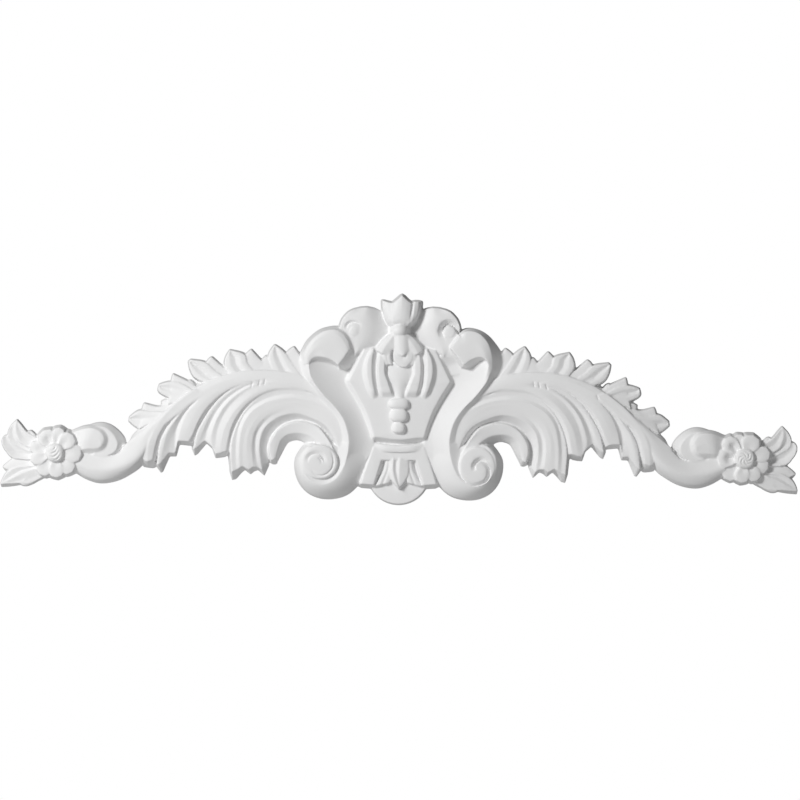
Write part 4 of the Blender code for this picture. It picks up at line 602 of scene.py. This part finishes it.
# The flutes below the stem lie in groups, each a sheet through the lines of its ridges and hollows,
# from root to tip, with heights along each line
fluteGroups = (
    # the innermost leaf, curled back over the volute
    ((((-84, -64), (-95, -57), (-103, -50.5), (-110, -46.8), (-117, -45.8), (-125, -48.5), (-129, -54),
       (-132, -60), (-138, -71.5)), (14, 8, 4, 4, 4, 4)),
     (((-82, -58), (-90, -48.5), (-98, -42.5), (-105, -39.5), (-115, -38), (-125, -39.5), (-132, -44.5),
       (-135.5, -52), (-139, -67)), (22, 18, 15, 14, 13, 12)),
     (((-72, -60), (-80, -47), (-88, -40), (-98, -34.5), (-112, -31.5), (-124, -32.5), (-134, -39),
       (-139.5, -50), (-141, -68)), (22.5, 19, 16, 15, 14.2, 13)),
     (((-70, -63), (-76, -51), (-84, -39), (-91, -31.5), (-100, -27.5), (-110, -25.5), (-120, -26.5),
       (-130, -30.5), (-138, -37.5), (-143.5, -46), (-146, -57), (-143.5, -69)),
      (23, 20, 16.5, 16, 15, 13))),
    # the broad flute with the deep channel, which ends in the three largest tips
    ((((-66, -64), (-72, -50), (-82, -37), (-90, -31), (-100, -27), (-110, -25), (-120, -26), (-130, -30),
       (-138, -37), (-144, -46), (-147, -58), (-147.5, -73)), (19.5, 13, 7, 5, 4, 4)),
     (((-64, -64), (-69, -50), (-78, -34), (-88, -26), (-100, -20.5), (-110, -17), (-120, -16), (-133, -19),
       (-145, -26), (-153, -35), (-156.5, -46), (-157, -60), (-154, -80)), (20, 19, 17, 16, 14.5, 11)),
     (((-63, -64), (-67, -48), (-76, -31), (-88, -21), (-105, -13), (-125, -12.5), (-143, -19), (-154, -29),
       (-160, -39), (-162, -50), (-161.5, -65), (-158.5, -77)), (20, 19.5, 17.5, 16, 13, 11.5)),
     (((-62.5, -64), (-66, -46), (-75, -29), (-88, -18), (-105, -9.5), (-126, -9), (-146, -17), (-157, -27),
       (-163, -38), (-165.5, -51), (-165, -65), (-164, -76.5)), (20, 19.5, 17.5, 17, 16, 13.5)),
     (((-62, -64), (-65, -44), (-73, -27), (-88, -13), (-105, -6), (-126, -4.5), (-148, -12), (-160, -21),
       (-167, -33), (-171, -46), (-171, -62), (-168.5, -80)), (20, 19.5, 18, 17.5, 17, 13.5)),
     (((-62, -64), (-64, -43), (-71, -26), (-84, -12), (-102, -4), (-124, -2), (-147, -8.5), (-161, -17),
       (-169, -29), (-174, -43), (-176, -60), (-175.5, -76)), (20, 19.5, 18, 17.5, 17, 14)),
     (((-61, -64), (-63, -42), (-68, -25), (-78, -12), (-90, -6), (-100, -2), (-120, 1.5), (-135, 0),
       (-150, -4), (-162, -11), (-170, -19), (-176, -30), (-179, -45), (-180, -60), (-179, -77.5)),
      (20, 19.5, 18.5, 18, 17.5, 14.5)),
     (((-61, -62), (-62.5, -40), (-69, -21), (-82, -6), (-100, 2), (-120, 5.5), (-135, 4.5), (-150, 0),
       (-164, -7.5), (-173, -16), (-179, -28), (-182.5, -42), (-183.5, -58), (-183, -80)),
      (19.5, 18.5, 16.5, 15.5, 15, 13.5)),
     (((-61, -60), (-62, -38), (-70, -17), (-88, 1), (-110, 8.5), (-131, 10.5), (-140, 9.5), (-150, 5.5),
       (-160, -0.5), (-170, -9.5), (-178, -20.5), (-184, -33), (-188, -47), (-189.5, -62), (-188, -82.5)),
      (19.5, 18.5, 17, 16.5, 16, 14))),
    # the next group, with two tips
    ((((-105, 8), (-118, 10.5), (-130, 10.5), (-140, 8.5), (-150, 4.5), (-158, -0.5), (-170, -11),
       (-178.5, -21.5), (-184, -33), (-187.5, -45), (-190, -60)), (17, 17, 14.5, 13, 12.5, 12)),
     (((-105, 12), (-118, 13), (-131, 12.8), (-141, 11.5), (-152, 7.5), (-165, 0), (-175, -9), (-183, -20),
       (-188.5, -31), (-191.5, -42), (-195, -59)), (18, 18.5, 18.5, 18.5, 18, 15.5)),
     (((-110, 15), (-130, 16), (-145, 14), (-158, 9), (-170, 1), (-181, -9), (-190, -21), (-197, -35),
       (-200, -50), (-202, -61.5)), (18.3, 18.5, 19, 19, 18, 15)),
     (((-115, 17), (-140, 17.5), (-160, 14.5), (-172, 8.5), (-183, 0), (-193, -11), (-200.5, -24),
       (-205, -38), (-207, -52), (-206.5, -62)), (18.3, 18.3, 18, 16.5, 15.5, 14)),
     (((-120, 18), (-145, 19), (-166, 14.5), (-176, 9.5), (-187, 1.5), (-197, -9), (-204.5, -21),
       (-209.5, -34), (-212, -46), (-210.5, -54)), (18.5, 18.5, 18.7, 18.3, 17, 14.5)),
     (((-130, 20), (-155, 19.5), (-172, 14.5), (-183, 8), (-194, -0.5), (-203.5, -11.5), (-211, -24),
       (-216, -37), (-218.5, -47.5)), (18.5, 18.5, 16.5, 14.5, 13.5, 12.5)),
     (((-135, 20.5), (-160, 19.5), (-177, 14), (-189, 7), (-200, -2), (-209, -13), (-216.5, -26),
       (-221.5, -39), (-228, -56)), (18.5, 18.5, 17.5, 16, 15.5, 12.5)),
     (((-140, 21), (-165, 19.5), (-181, 13.5), (-192, 7.5), (-203, -1.5), (-212, -12), (-220, -25),
       (-227, -39), (-231, -57)), (18.5, 18.5, 17.5, 16, 15.5, 13))),
    # the next group, with a short and a long tip
    ((((-150, 19), (-170, 16.5), (-181, 12), (-190, 7.5), (-200, 0.5), (-210, -9), (-218, -20), (-225, -33),
       (-229.5, -43), (-233, -51)), (18, 17, 13.5, 12.5, 12, 11.5)),
     (((-150, 21), (-170, 18.5), (-182, 15), (-191, 11), (-203, 3), (-213.5, -7), (-222, -18), (-228.5, -31),
       (-232.5, -41), (-237.5, -48.5)), (18.5, 18.5, 18.5, 18.5, 18, 15.5)),
     (((-170, 22), (-190, 17), (-206, 8), (-218, -2), (-228, -14), (-235, -27), (-240, -38), (-243.5, -48)),
      (18.5, 18.5, 19, 19, 18, 15.5)),
     (((-180, 22), (-200, 15), (-216, 6), (-228, -4), (-237, -14), (-243, -26), (-247, -38), (-249, -48)),
      (18.5, 18.5, 18.7, 18.5, 17, 15.5)),
     (((-185, 22), (-205, 14), (-220, 5), (-231, -5), (-240.5, -16), (-247, -27), (-251.5, -40),
       (-252, -62)), (18.5, 18.5, 17.5, 14.5, 13, 12)),
     (((-188, 22), (-208, 13.5), (-222, 4.5), (-232.5, -5), (-242, -15.5), (-250, -27.5), (-256, -41),
       (-259, -61.5)), (18.5, 18.5, 18.3, 16.5, 15, 12.5)),
     (((-190, 22), (-210, 13), (-224, 4), (-234, -5), (-244, -15), (-254, -28), (-262, -42), (-269, -74)),
      (18.5, 18.5, 18.5, 18, 16.5, 13)),
     (((-200, 20), (-222, 8), (-238, -6), (-250, -18.5), (-258, -29), (-265, -41), (-269, -53), (-272, -75)),
      (18.5, 18.5, 18, 16.5, 16, 13))),
    # the last lobe, which grows out of the stem
    ((((-225, 4), (-240, -8), (-252, -21), (-260, -31.5), (-267, -44), (-271, -56), (-275, -69)),
      (18, 17, 14, 13, 12.5, 12)),
     (((-225, 8), (-242, -6), (-255, -18.5), (-264, -30), (-271, -43), (-275, -56), (-277.5, -69.5)),
      (18.5, 18.5, 18.5, 18.5, 18, 15)),
     (((-230, 10), (-248, -4), (-262, -18), (-273, -32), (-280, -47), (-282.5, -60), (-283, -71.5)),
      (18.5, 18.5, 18.8, 19, 19, 15)),
     (((-235, 8), (-255, -8), (-270, -24), (-281, -40), (-287, -52), (-288.5, -62), (-287, -70)),
      (18.5, 18.5, 18.5, 18.3, 17.5, 14))),
)


# Where the wall below each line's tip meets the wall behind, group by group
fluteFeet = (
    ((-137, -73), (-139, -74), (-142, -74), (-145.5, -72)),
    ((-146, -74.5), (-151.5, -87), (-158.5, -80.5), (-163, -82), (-167, -85.5), (-173.5, -80.5),
     (-177.5, -84), (-183.5, -91), (-188, -92)),
    ((-190, -62), (-196, -66), (-201.5, -67), (-207, -67.5), (-210.5, -57), (-217, -51), (-227, -63),
     (-230.5, -65)),
    ((-233, -54), (-238.5, -53.5), (-243.5, -53), (-247.5, -52.5), (-251, -66), (-258.5, -66), (-266, -83.5),
     (-268.5, -84.5)),
    ((-275, -79), (-277.5, -79.5), (-283, -79), (-288, -78)),
)


def makeFlutes():
    for rails, feet in zip(fluteGroups, fluteFeet):
        yield fan(rails, feet, draft=0.22)


flowerValues = {
    "centre": (-387, -62.5),
    "buttonRadius": 10.2,
    "buttonFoot": 20.5,
    "buttonRise": 4.5,
    "draft": 0.2,
    # direction and half width in degrees, reach, height of the rim, depth of the hollow
    "petals": ((-2, 29, 30, 19, 0.4), (-48, 25, 29.3, 18, 0.4), (118, 30, 28, 18.5, 2.5),
               (80, 20, 28.5, 18.8, 1), (44, 27, 28.3, 20.6, 1), (-85, 24, 28.3, 18.5, 0.4),
               (166, 20, 29.2, 16.6, 1.5), (236, 24, 30, 17.6, 0.6), (200, 21, 28, 19, 0.6)),
}


# The right flower, drawn on the left and turned over like the hook
rightFlowerValues = {
    "centre": (-389.7, -62.7),
    "buttonRadius": 11,
    "buttonFoot": 19.5,
    "buttonRise": 3.8,
    "draft": 0.2,
    "leafShift": (-1.3, -0.4),   # the leaves beyond it, against those of the left end
    "petals": ((-45, 25, 31.5, 14.5, 0.5), (110, 31, 28, 19, 0.5), (73, 19, 28.5, 16, 0.6),
               (45, 23, 31.5, 18, 4), (2, 29, 30.5, 17.6, 4.5), (166, 25, 28.8, 17.8, 0.4),
               (203, 25, 28.5, 16.8, 0.4), (240, 23, 28.3, 18, 0.4), (278, 24, 27.5, 18.7, 0.6)),
}


def drawFlower(v):
    middle = v["centre"]
    for facing, half, reach, high, hollow in v["petals"]:
        rails = []
        for place, length in ((-1, 0.8), (-0.6, 0.95), (0, 1.0), (0.6, 0.95), (1, 0.8)):
            line = []
            for share, narrow in ((0.2, 1.0), (0.5, 0.95), (0.8, 1.0), (1.0, 0.9)):
                turn = math.radians(facing + place * half * narrow)
                far = reach * length * share
                line.append((middle[0] + far * math.cos(turn), middle[1] + far * math.sin(turn)))
            sunk = hollow * (1 - abs(place))
            rails.append((line, (high + 1, high - sunk, high + 0.3 - sunk, high, high - 0.7)))
        yield fan(rails, draft=v["draft"])
    yield bead(middle, v["buttonRadius"], v["buttonRadius"], v["buttonFoot"], v["buttonRise"], square=2.4,
               draft=0.12)


def makeFlower():
    yield from drawFlower(flowerValues)


def makeRightFlower():
    yield from drawFlower(rightFlowerValues)


# Leaves beyond the flower, each a sheet through lines from its root to its tip with heights along them
endLeafRails = (
    # the upper leaf with its midrib
    ((((-405, -68), (-436, -52), (-440.8, -42), (-437.8, -33.5), (-431.3, -26.3)), (12, 10, 9.5, 9.5, 9)),
     (((-404, -65), (-430, -51), (-435.5, -42), (-434.8, -34), (-431.2, -26.3)), (12, 8.5, 8, 8.5, 9)),
     (((-403, -63), (-424.5, -52.5), (-430.3, -43), (-432.3, -34), (-431.1, -26.3)),
      (13, 11.5, 11, 10.5, 9)),
     (((-402, -56), (-420, -47.5), (-426, -40), (-429.3, -33.5), (-431, -26.3)), (13, 10, 9, 9, 9)),
     (((-401, -50), (-417, -41.5), (-422, -37), (-426.3, -31.5), (-430.9, -26.3)), (12, 11, 10.5, 10, 9))),
    # its lower lobe
    ((((-403, -70.5), (-432.5, -69.6), (-442.8, -61), (-447.2, -53), (-446.8, -47.3), (-444, -44)),
      (13, 11.5, 11, 10.5, 9.5)),
     (((-402, -68), (-428, -63), (-438, -56), (-442.5, -50.5), (-443.8, -47), (-443.5, -44)),
      (11, 8, 7.5, 8, 8.5)),
     (((-401, -64), (-424, -55.5), (-433, -50), (-438.5, -46), (-441.5, -44.2), (-443, -43.8)),
      (12, 10.5, 9, 9, 8.5))),
    # the small lobe beside the flower
    ((((-418.5, -52), (-419.8, -44), (-418.7, -40), (-416, -38.3)), 9.5),
     (((-412, -50), (-415.5, -43), (-415.8, -40), (-415.3, -38.3)), 8.5),
     (((-404, -50), (-409, -44.5), (-411.5, -41), (-414.5, -38.5)), 9)),
    # the middle leaf
    ((((-408, -69.5), (-425, -69), (-435.6, -70.8), (-441.5, -74.5), (-446, -78.6)), (8.5, 8, 8, 8, 8)),
     (((-408, -77), (-425, -77), (-435.5, -77.5), (-441.5, -78.5), (-446, -79)), (11, 10.5, 10, 9.5, 8.5)),
     (((-408, -86), (-425, -85.5), (-436, -83), (-441.5, -81.8), (-445.8, -79.6)), 9.5),
     (((-408, -87), (-425, -86.5), (-436, -86), (-441.3, -85.3), (-445, -82.8)), (9, 5, 0.5, 0.5, 0.5))),
    # the lower leaf with its midrib
    ((((-396, -72), (-413, -77.5), (-430, -79.5), (-442.5, -86.5), (-448.7, -98)), (14, 12.5, 11.5, 11, 10)),
     (((-395, -73), (-411, -79.5), (-426, -83.5), (-437, -90), (-448.5, -98.2)), (14, 11.5, 10, 10, 10)),
     (((-394, -75), (-411, -81), (-423, -85.5), (-434.5, -91.5), (-448.3, -98.3)), (15, 13.5, 12.5, 12, 10)),
     (((-393, -80), (-412, -91), (-425, -93.5), (-436, -96), (-448.2, -98.5)), (13, 11.5, 11, 10.5, 10)),
     (((-391, -84), (-412, -96), (-426, -97.3), (-437, -97.8), (-448, -98.6)), (11.5, 11.5, 11.5, 11, 10)),
     (((-391, -85), (-412, -97), (-426, -99.6), (-437, -101.4), (-448.6, -102.3)), (11, 8, 0.5, 0.5, 0.5))),
    # its lobe
    ((((-388, -74), (-410, -84), (-420, -91), (-425.5, -98.8)), (13, 12, 12, 11)),
     (((-386, -77), (-407, -89), (-417, -95), (-423.5, -99.5)), (12, 10.5, 10.5, 10.5)),
     (((-384, -80), (-402.5, -90), (-410.5, -96), (-418, -99.3), (-422, -99.8)), (12, 10.5, 10.5, 10.5))),
)


def makeEndLeaves():
    for rails in endLeafRails:
        yield fan(rails, draft=0.14)


def makeRightEndLeaves():
    shift = rightFlowerValues["leafShift"]
    for rails in endLeafRails:
        yield fan([([(u + shift[0], v + shift[1]) for u, v in line], rise) for line, rise in rails],
                  draft=0.14)


# Grooves pressed into the fused surface: line, width on its left, width on its right, depth along it, and the
# halves that have it: 1 is the left half, and -1 the right half with the line mirrored
grooveValues = (
    (((-102.8, -71), (-101, -65.5), (-96.5, -62.2), (-91, -61.5), (-86.7, -63.8), (-84.5, -68),
      (-84.8, -73)), 4.2, 1.6, (0, 1.6, 2.4, 2.4, 2, 1.2, 0), (1,)),
    (((-92, -67), (-89, -66.3), (-86.8, -68.5), (-86.2, -73)), 0.9, 2.2, (0, 1.3, 1.7, 0), (1,)),
    (((-77.5, -57), (-74.6, -63), (-73.6, -70), (-75, -77), (-80, -82.8), (-87, -85.6), (-94, -83.8),
      (-98.8, -78)), 1.8, 0.8, (0, 0.9, 1.4, 1.5, 1.5, 1.3, 0.8, 0), (1,)),
    (((-86.5, -79), (-86, -74), (-88, -70), (-92, -67.8), (-98, -68.6)), 1.0, 5.0, (0, 4, 5.5, 4.5, 1),
     (-1,)),
    (((-92, -67), (-98.5, -70.5), (-102.5, -77), (-102.5, -84), (-99, -91), (-92, -94.8), (-84, -95.5),
      (-76, -92)), 4.5, 0.8, (0.5, 2.5, 4.5, 5.2, 4.8, 3.4, 1.8, 0), (-1,)),
    (((-61, 79), (-58.5, 84.5), (-53, 87), (-46.5, 85), (-44, 79)), 2.8, 1.8, (0, 2.4, 2.2, 0.8, 0), (1,)),
    (((-50.3, 71), (-48.6, 77.5), (-50, 82.2), (-53.5, 84.8), (-57.5, 84.4), (-61.5, 81.5), (-65.5, 75.5)),
     1.0, 6.5, (0.5, 6, 8, 8, 7, 5.5, 5), (-1,)),
    (((-392.5, -57.5), (-389, -59.6), (-386.5, -57.6), (-386, -55)), 1.2, 1.2, (0.5, 1.3, 1.3, 0.4), (1,)),
    (((-394, -61.5), (-390, -63.5), (-386, -61.5), (-383.5, -57.5)), 1.2, 1.2, (0.5, 1.4, 1.4, 0.4), (1,)),
    (((-393, -66.5), (-388.5, -67.3), (-384.5, -65), (-381.5, -60.5)), 1.2, 1.2, (0.4, 1.4, 1.4, 0.4), (1,)),
    (((-387.5, -71), (-383.5, -69.3), (-380.3, -65)), 1.2, 1.2, (0.4, 1.2, 0.4), (1,)),
    (((-166.5, 13.5), (-165, 18.5)), 1.3, 1.3, 1.0, (1, -1)),
    (((-158, 15.5), (-157, 20.5)), 1.3, 1.3, 1.0, (1, -1)),
    (((-152, 16.5), (-151, 21.5)), 1.3, 1.3, 1.0, (1, -1)),
    (((-224, 3), (-222.5, 7)), 1.3, 1.3, 1.0, (-1,)),
)


def swirlLines():
    # arcs that wind out over the button of the right flower
    centre = rightFlowerValues["centre"]
    for turn in range(0, 360, 60):
        line = []
        for reach, wound in ((1.5, 0), (4, 22), (6.5, 52), (8.5, 88)):
            angle = math.radians(turn - wound)
            line.append((centre[0] + reach * math.cos(angle), centre[1] + reach * math.sin(angle)))
        yield line, 1.3, 1.3, (0.6, 1.2, 1, 0.3), (-1,)


def pressGrooves(mesh):
    points = np.empty(len(mesh.vertices) * 3)
    mesh.vertices.foreach_get("co", points)
    points = points.reshape(-1, 3)
    for line, leftWidth, rightWidth, depth, sides in (*grooveValues, *swirlLines()):
        path = densePoints(line)
        along = np.gradient(path, axis=0)
        deep = riseCurve(depth)
        depths = np.array([deep(t) for t in np.linspace(0, 1, len(path))])
        widest = max(leftWidth, rightWidth)
        for side in sides:
            flat = points[:, :2] * (side, 1)
            near = np.all((flat > path.min(axis=0) - widest) & (flat < path.max(axis=0) + widest), axis=1)
            where = np.flatnonzero(near & (points[:, 2] > castValues["grooveFloor"]))
            off = flat[where][:, None] - path[None]
            nearest = np.linalg.norm(off, axis=2).argmin(axis=1)
            off = off[np.arange(len(where)), nearest]
            tangent = along[nearest]
            across = tangent[:, 0] * off[:, 1] - tangent[:, 1] * off[:, 0]
            width = np.where(across > 0, leftWidth, rightWidth)
            points[where, 2] -= depths[nearest] * np.clip(1 - np.linalg.norm(off, axis=1) / width, 0, 1)
    mesh.vertices.foreach_set("co", points.ravel())
    mesh.update()


def joinForms():
    # drawn forms and where they go: 1 is as drawn, -1 is turned over to the right half
    whole = bmesh.new()
    holder = bpy.data.meshes.new("form")
    both = (makeBackScroll, makeRibbon, makeStem, makeEndCurl, makeUpperLeaves, makeFlutes)
    drawn = (makeHook, makeVolute, makePanel, makeFoot, makeVase, makeCrown, makeFlower, makeEndLeaves)
    turned = (makeRightHook, makeRightVolute, makeRightFlower, makeRightEndLeaves)
    for makers, copies in ((both, (1, -1)), (drawn, (1,)), (turned, (-1,))):
        for form in (form for make in makers for form in make()):
            for side in copies:
                if side < 0:
                    bmesh.ops.scale(form, vec=(-1, 1, 1), verts=form.verts)
                    bmesh.ops.reverse_faces(form, faces=form.faces)
                form.to_mesh(holder)
                whole.from_mesh(holder)
            form.free()
    joined = bpy.data.meshes.new("joined")
    whole.to_mesh(joined)
    whole.free()
    bpy.data.meshes.remove(holder)
    return joined


def meshThrough(mesh, addModifiers):
    # the mesh as it comes out of the modifiers
    holder = bpy.data.objects.new("holder", mesh)
    bpy.context.scene.collection.objects.link(holder)
    addModifiers(holder.modifiers)
    graph = bpy.context.evaluated_depsgraph_get()
    result = bpy.data.meshes.new_from_object(holder.evaluated_get(graph))
    bpy.data.objects.remove(holder)
    bpy.data.meshes.remove(mesh)
    return result


def addFuse(modifiers):
    fuse = modifiers.new("fuse", "REMESH")
    fuse.mode = "VOXEL"
    fuse.voxel_size = castValues["voxel"]
    soften = modifiers.new("soften", "SMOOTH")
    soften.factor = castValues["softness"]
    soften.iterations = castValues["softening"]


def makeOnlay():
    print("carving the forms")
    mesh = meshThrough(joinForms(), addFuse)
    print("pressing the grooves")
    pressGrooves(mesh)

    def addThin(modifiers):
        thin = modifiers.new("thin", "DECIMATE")
        thin.ratio = castValues["triangles"] / (2 * len(mesh.polygons))

    thinned = meshThrough(mesh, addThin)
    body = bmesh.new()
    body.from_mesh(thinned)
    geometry = body.verts[:] + body.edges[:] + body.faces[:]
    bmesh.ops.bisect_plane(body, geom=geometry, plane_co=(0, 0, 0), plane_no=(0, 0, -1), clear_outer=True)
    bmesh.ops.holes_fill(body, edges=[edge for edge in body.edges if edge.is_boundary], sides=0)
    mm = castValues["mm"]
    body.transform(Matrix(((mm, 0, 0, 0), (0, 0, -mm, 0), (0, mm, 0, 0), (0, 0, 0, 1))))
    for vert in body.verts:
        vert.co = [min(max(value, low), high) for value, low, high in zip(vert.co, *cadBox)]
    bmesh.ops.recalc_face_normals(body, faces=body.faces)
    body.to_mesh(thinned)
    body.free()
    thinned.shade_smooth()
    thinned.set_sharp_from_angle(angle=math.radians(castValues["sharpAngle"]))
    onlay = bpy.data.objects.new("scrollOnlay", thinned)
    bpy.context.scene.collection.objects.link(onlay)
    print("onlay has", sum(len(face.vertices) - 2 for face in thinned.polygons), "triangles")
    return onlay


primerValues = {
    "colour": (0.82, 0.82, 0.82),
    "shadowColour": (0.78, 0.78, 0.78),
    "roughness": 0.6,
    "roughnessRange": 0.16,
    "cloudScale": 14.0,
    "grainScale": 900.0,
    "grainShare": 0.3,          # of the grain in the tint, against the clouds
    "brushScale": 160.0,
    "bumpStrength": 0.25,
    "bumpDepth": 0.0004,
    "refraction": 1.45,
}


class Sock:
    # a socket that adds its own Math nodes when it is used in sums
    def __init__(self, tree, socket):
        self.tree = tree
        self.socket = socket

    def put(self, nodeType, settings=None, inputs=None, output=0):
        node = self.tree.nodes.new(nodeType)
        for name, value in (settings or {}).items():
            setattr(node, name, value)
        for name, value in (inputs or {}).items():
            if isinstance(value, Sock):
                self.tree.links.new(value.socket, node.inputs[name])
            else:
                node.inputs[name].default_value = value
        return Sock(self.tree, node.outputs[output])

    def sum(self, operation, first, second):
        return self.put("ShaderNodeMath", {"operation": operation}, {0: first, 1: second})

    def __add__(self, other):
        return self.sum("ADD", self, other)

    def __radd__(self, other):
        return self.sum("ADD", other, self)

    def __mul__(self, other):
        return self.sum("MULTIPLY", self, other)

    def __rmul__(self, other):
        return self.sum("MULTIPLY", other, self)

    def __sub__(self, other):
        return self.sum("SUBTRACT", self, other)

    def __rsub__(self, other):
        return self.sum("SUBTRACT", other, self)


def makePrimer():
    v = primerValues
    material = bpy.data.materials.new("primedWhite")
    material.use_nodes = True
    tree = material.node_tree
    shader = tree.nodes["Principled BSDF"]
    place = Sock(tree, tree.nodes.new("ShaderNodeTexCoord").outputs["Object"])
    cloud = place.put("ShaderNodeTexNoise", None, {"Vector": place, "Scale": v["cloudScale"], "Detail": 3.0})
    grain = place.put("ShaderNodeTexNoise", None, {"Vector": place, "Scale": v["grainScale"], "Detail": 2.0})
    brushed = place.put("ShaderNodeTexNoise", None,
                        {"Vector": place, "Scale": v["brushScale"], "Detail": 4.0})
    patches = cloud * (1 - v["grainShare"]) + grain * v["grainShare"]
    # the colour sockets of a Mix node are inputs 6 and 7 and output 2
    tint = place.put("ShaderNodeMix", {"data_type": "RGBA"},
                     {"Factor": patches, 6: v["shadowColour"] + (1,), 7: v["colour"] + (1,)}, output=2)
    tree.links.new(tint.socket, shader.inputs["Base Color"])
    dullness = v["roughness"] - v["roughnessRange"] / 2 + brushed * v["roughnessRange"]
    tree.links.new(dullness.socket, shader.inputs["Roughness"])
    bump = place.put("ShaderNodeBump", None,
                     {"Strength": v["bumpStrength"], "Distance": v["bumpDepth"],
                      "Height": grain * 0.5 + brushed})
    tree.links.new(bump.socket, shader.inputs["Normal"])
    shader.inputs["Metallic"].default_value = 0.0
    shader.inputs["IOR"].default_value = v["refraction"]
    return material


onlay = makeOnlay()
onlay.data.materials.append(makePrimer())
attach(onlay, "root")
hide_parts("scroll_onlay")


stageValues = {
    "floorDrop": 0.75,
    "floorSide": 4.0,
    "floorColour": 0.85,
    "floorRoughness": 0.9,
    "pictureWidth": 0.9034,     # width of the wall that the picture takes in
    "lens": 200,
    "sensor": 36,
    "sight": 50,                # how far the camera sees
    "sideways": 0.0008,         # how far right of the middle it stands
    "tilt": 0.5,                # degrees that the onlay leans to the right in the picture
    "keyPlace": (-2.25, -2.55, 1.5),
    "keySize": 0.9,
    "keyPower": 110,
    "fillPlace": (1.6, -3.2, 0.6),
    "fillSize": 2.4,
    "fillPower": 3,
    "worldLight": 0.165,
    "backgroundLight": 1.0,     # what the camera sees of it
}


def makeFloor():
    v = stageValues
    half = v["floorSide"] / 2
    sheet = bmesh.new()
    bmesh.ops.create_grid(sheet, x_segments=4, y_segments=4, size=1)
    place = Matrix.Translation((0, 0, -v["floorDrop"])) @ Matrix.Diagonal((half, half, 1, 1))
    bmesh.ops.transform(sheet, matrix=place, verts=sheet.verts)
    mesh = bpy.data.meshes.new("floor")
    sheet.to_mesh(mesh)
    sheet.free()
    floor = bpy.data.objects.new("floor", mesh)
    bpy.context.scene.collection.objects.link(floor)
    material = bpy.data.materials.new("floor")
    material.use_nodes = True
    shader = material.node_tree.nodes["Principled BSDF"]
    shader.inputs["Base Color"].default_value = (v["floorColour"], v["floorColour"], v["floorColour"], 1)
    shader.inputs["Roughness"].default_value = v["floorRoughness"]
    mesh.materials.append(material)


def makeLight(name, spot, size, power):
    data = bpy.data.lights.new(name, "AREA")
    data.shape = "DISK"
    data.size = size
    data.energy = power
    light = bpy.data.objects.new(name, data)
    bpy.context.scene.collection.objects.link(light)
    light.location = spot
    light.rotation_euler = (-Vector(spot)).to_track_quat("-Z", "Y").to_euler()


def makeStage():
    v = stageValues
    print("setting the stage")
    makeFloor()
    makeLight("key", v["keyPlace"], v["keySize"], v["keyPower"])
    makeLight("fill", v["fillPlace"], v["fillSize"], v["fillPower"])
    world = bpy.data.worlds.new("studio")
    world.use_nodes = True
    tree = world.node_tree
    background = tree.nodes["Background"]
    background.inputs["Color"].default_value = (1, 1, 1, 1)
    seen = Sock(tree, tree.nodes.new("ShaderNodeLightPath").outputs["Is Camera Ray"])
    strength = v["worldLight"] + seen * (v["backgroundLight"] - v["worldLight"])
    tree.links.new(strength.socket, background.inputs["Strength"])
    bpy.context.scene.world = world
    bpy.context.scene.view_settings.view_transform = "Standard"


def makeCamera():
    v = stageValues
    data = bpy.data.cameras.new("camera")
    data.lens = v["lens"]
    data.sensor_width = v["sensor"]
    data.clip_end = v["sight"]
    away = v["pictureWidth"] * v["lens"] / v["sensor"]
    camera = bpy.data.objects.new("camera", data)
    bpy.context.scene.collection.objects.link(camera)
    camera.location = (v["sideways"], -away, 0)
    facing = Matrix.Rotation(math.radians(90), 4, "X")
    camera.rotation_euler = (facing @ Matrix.Rotation(math.radians(v["tilt"]), 4, "Z")).to_euler()
    bpy.context.scene.camera = camera


makeStage()
makeCamera()
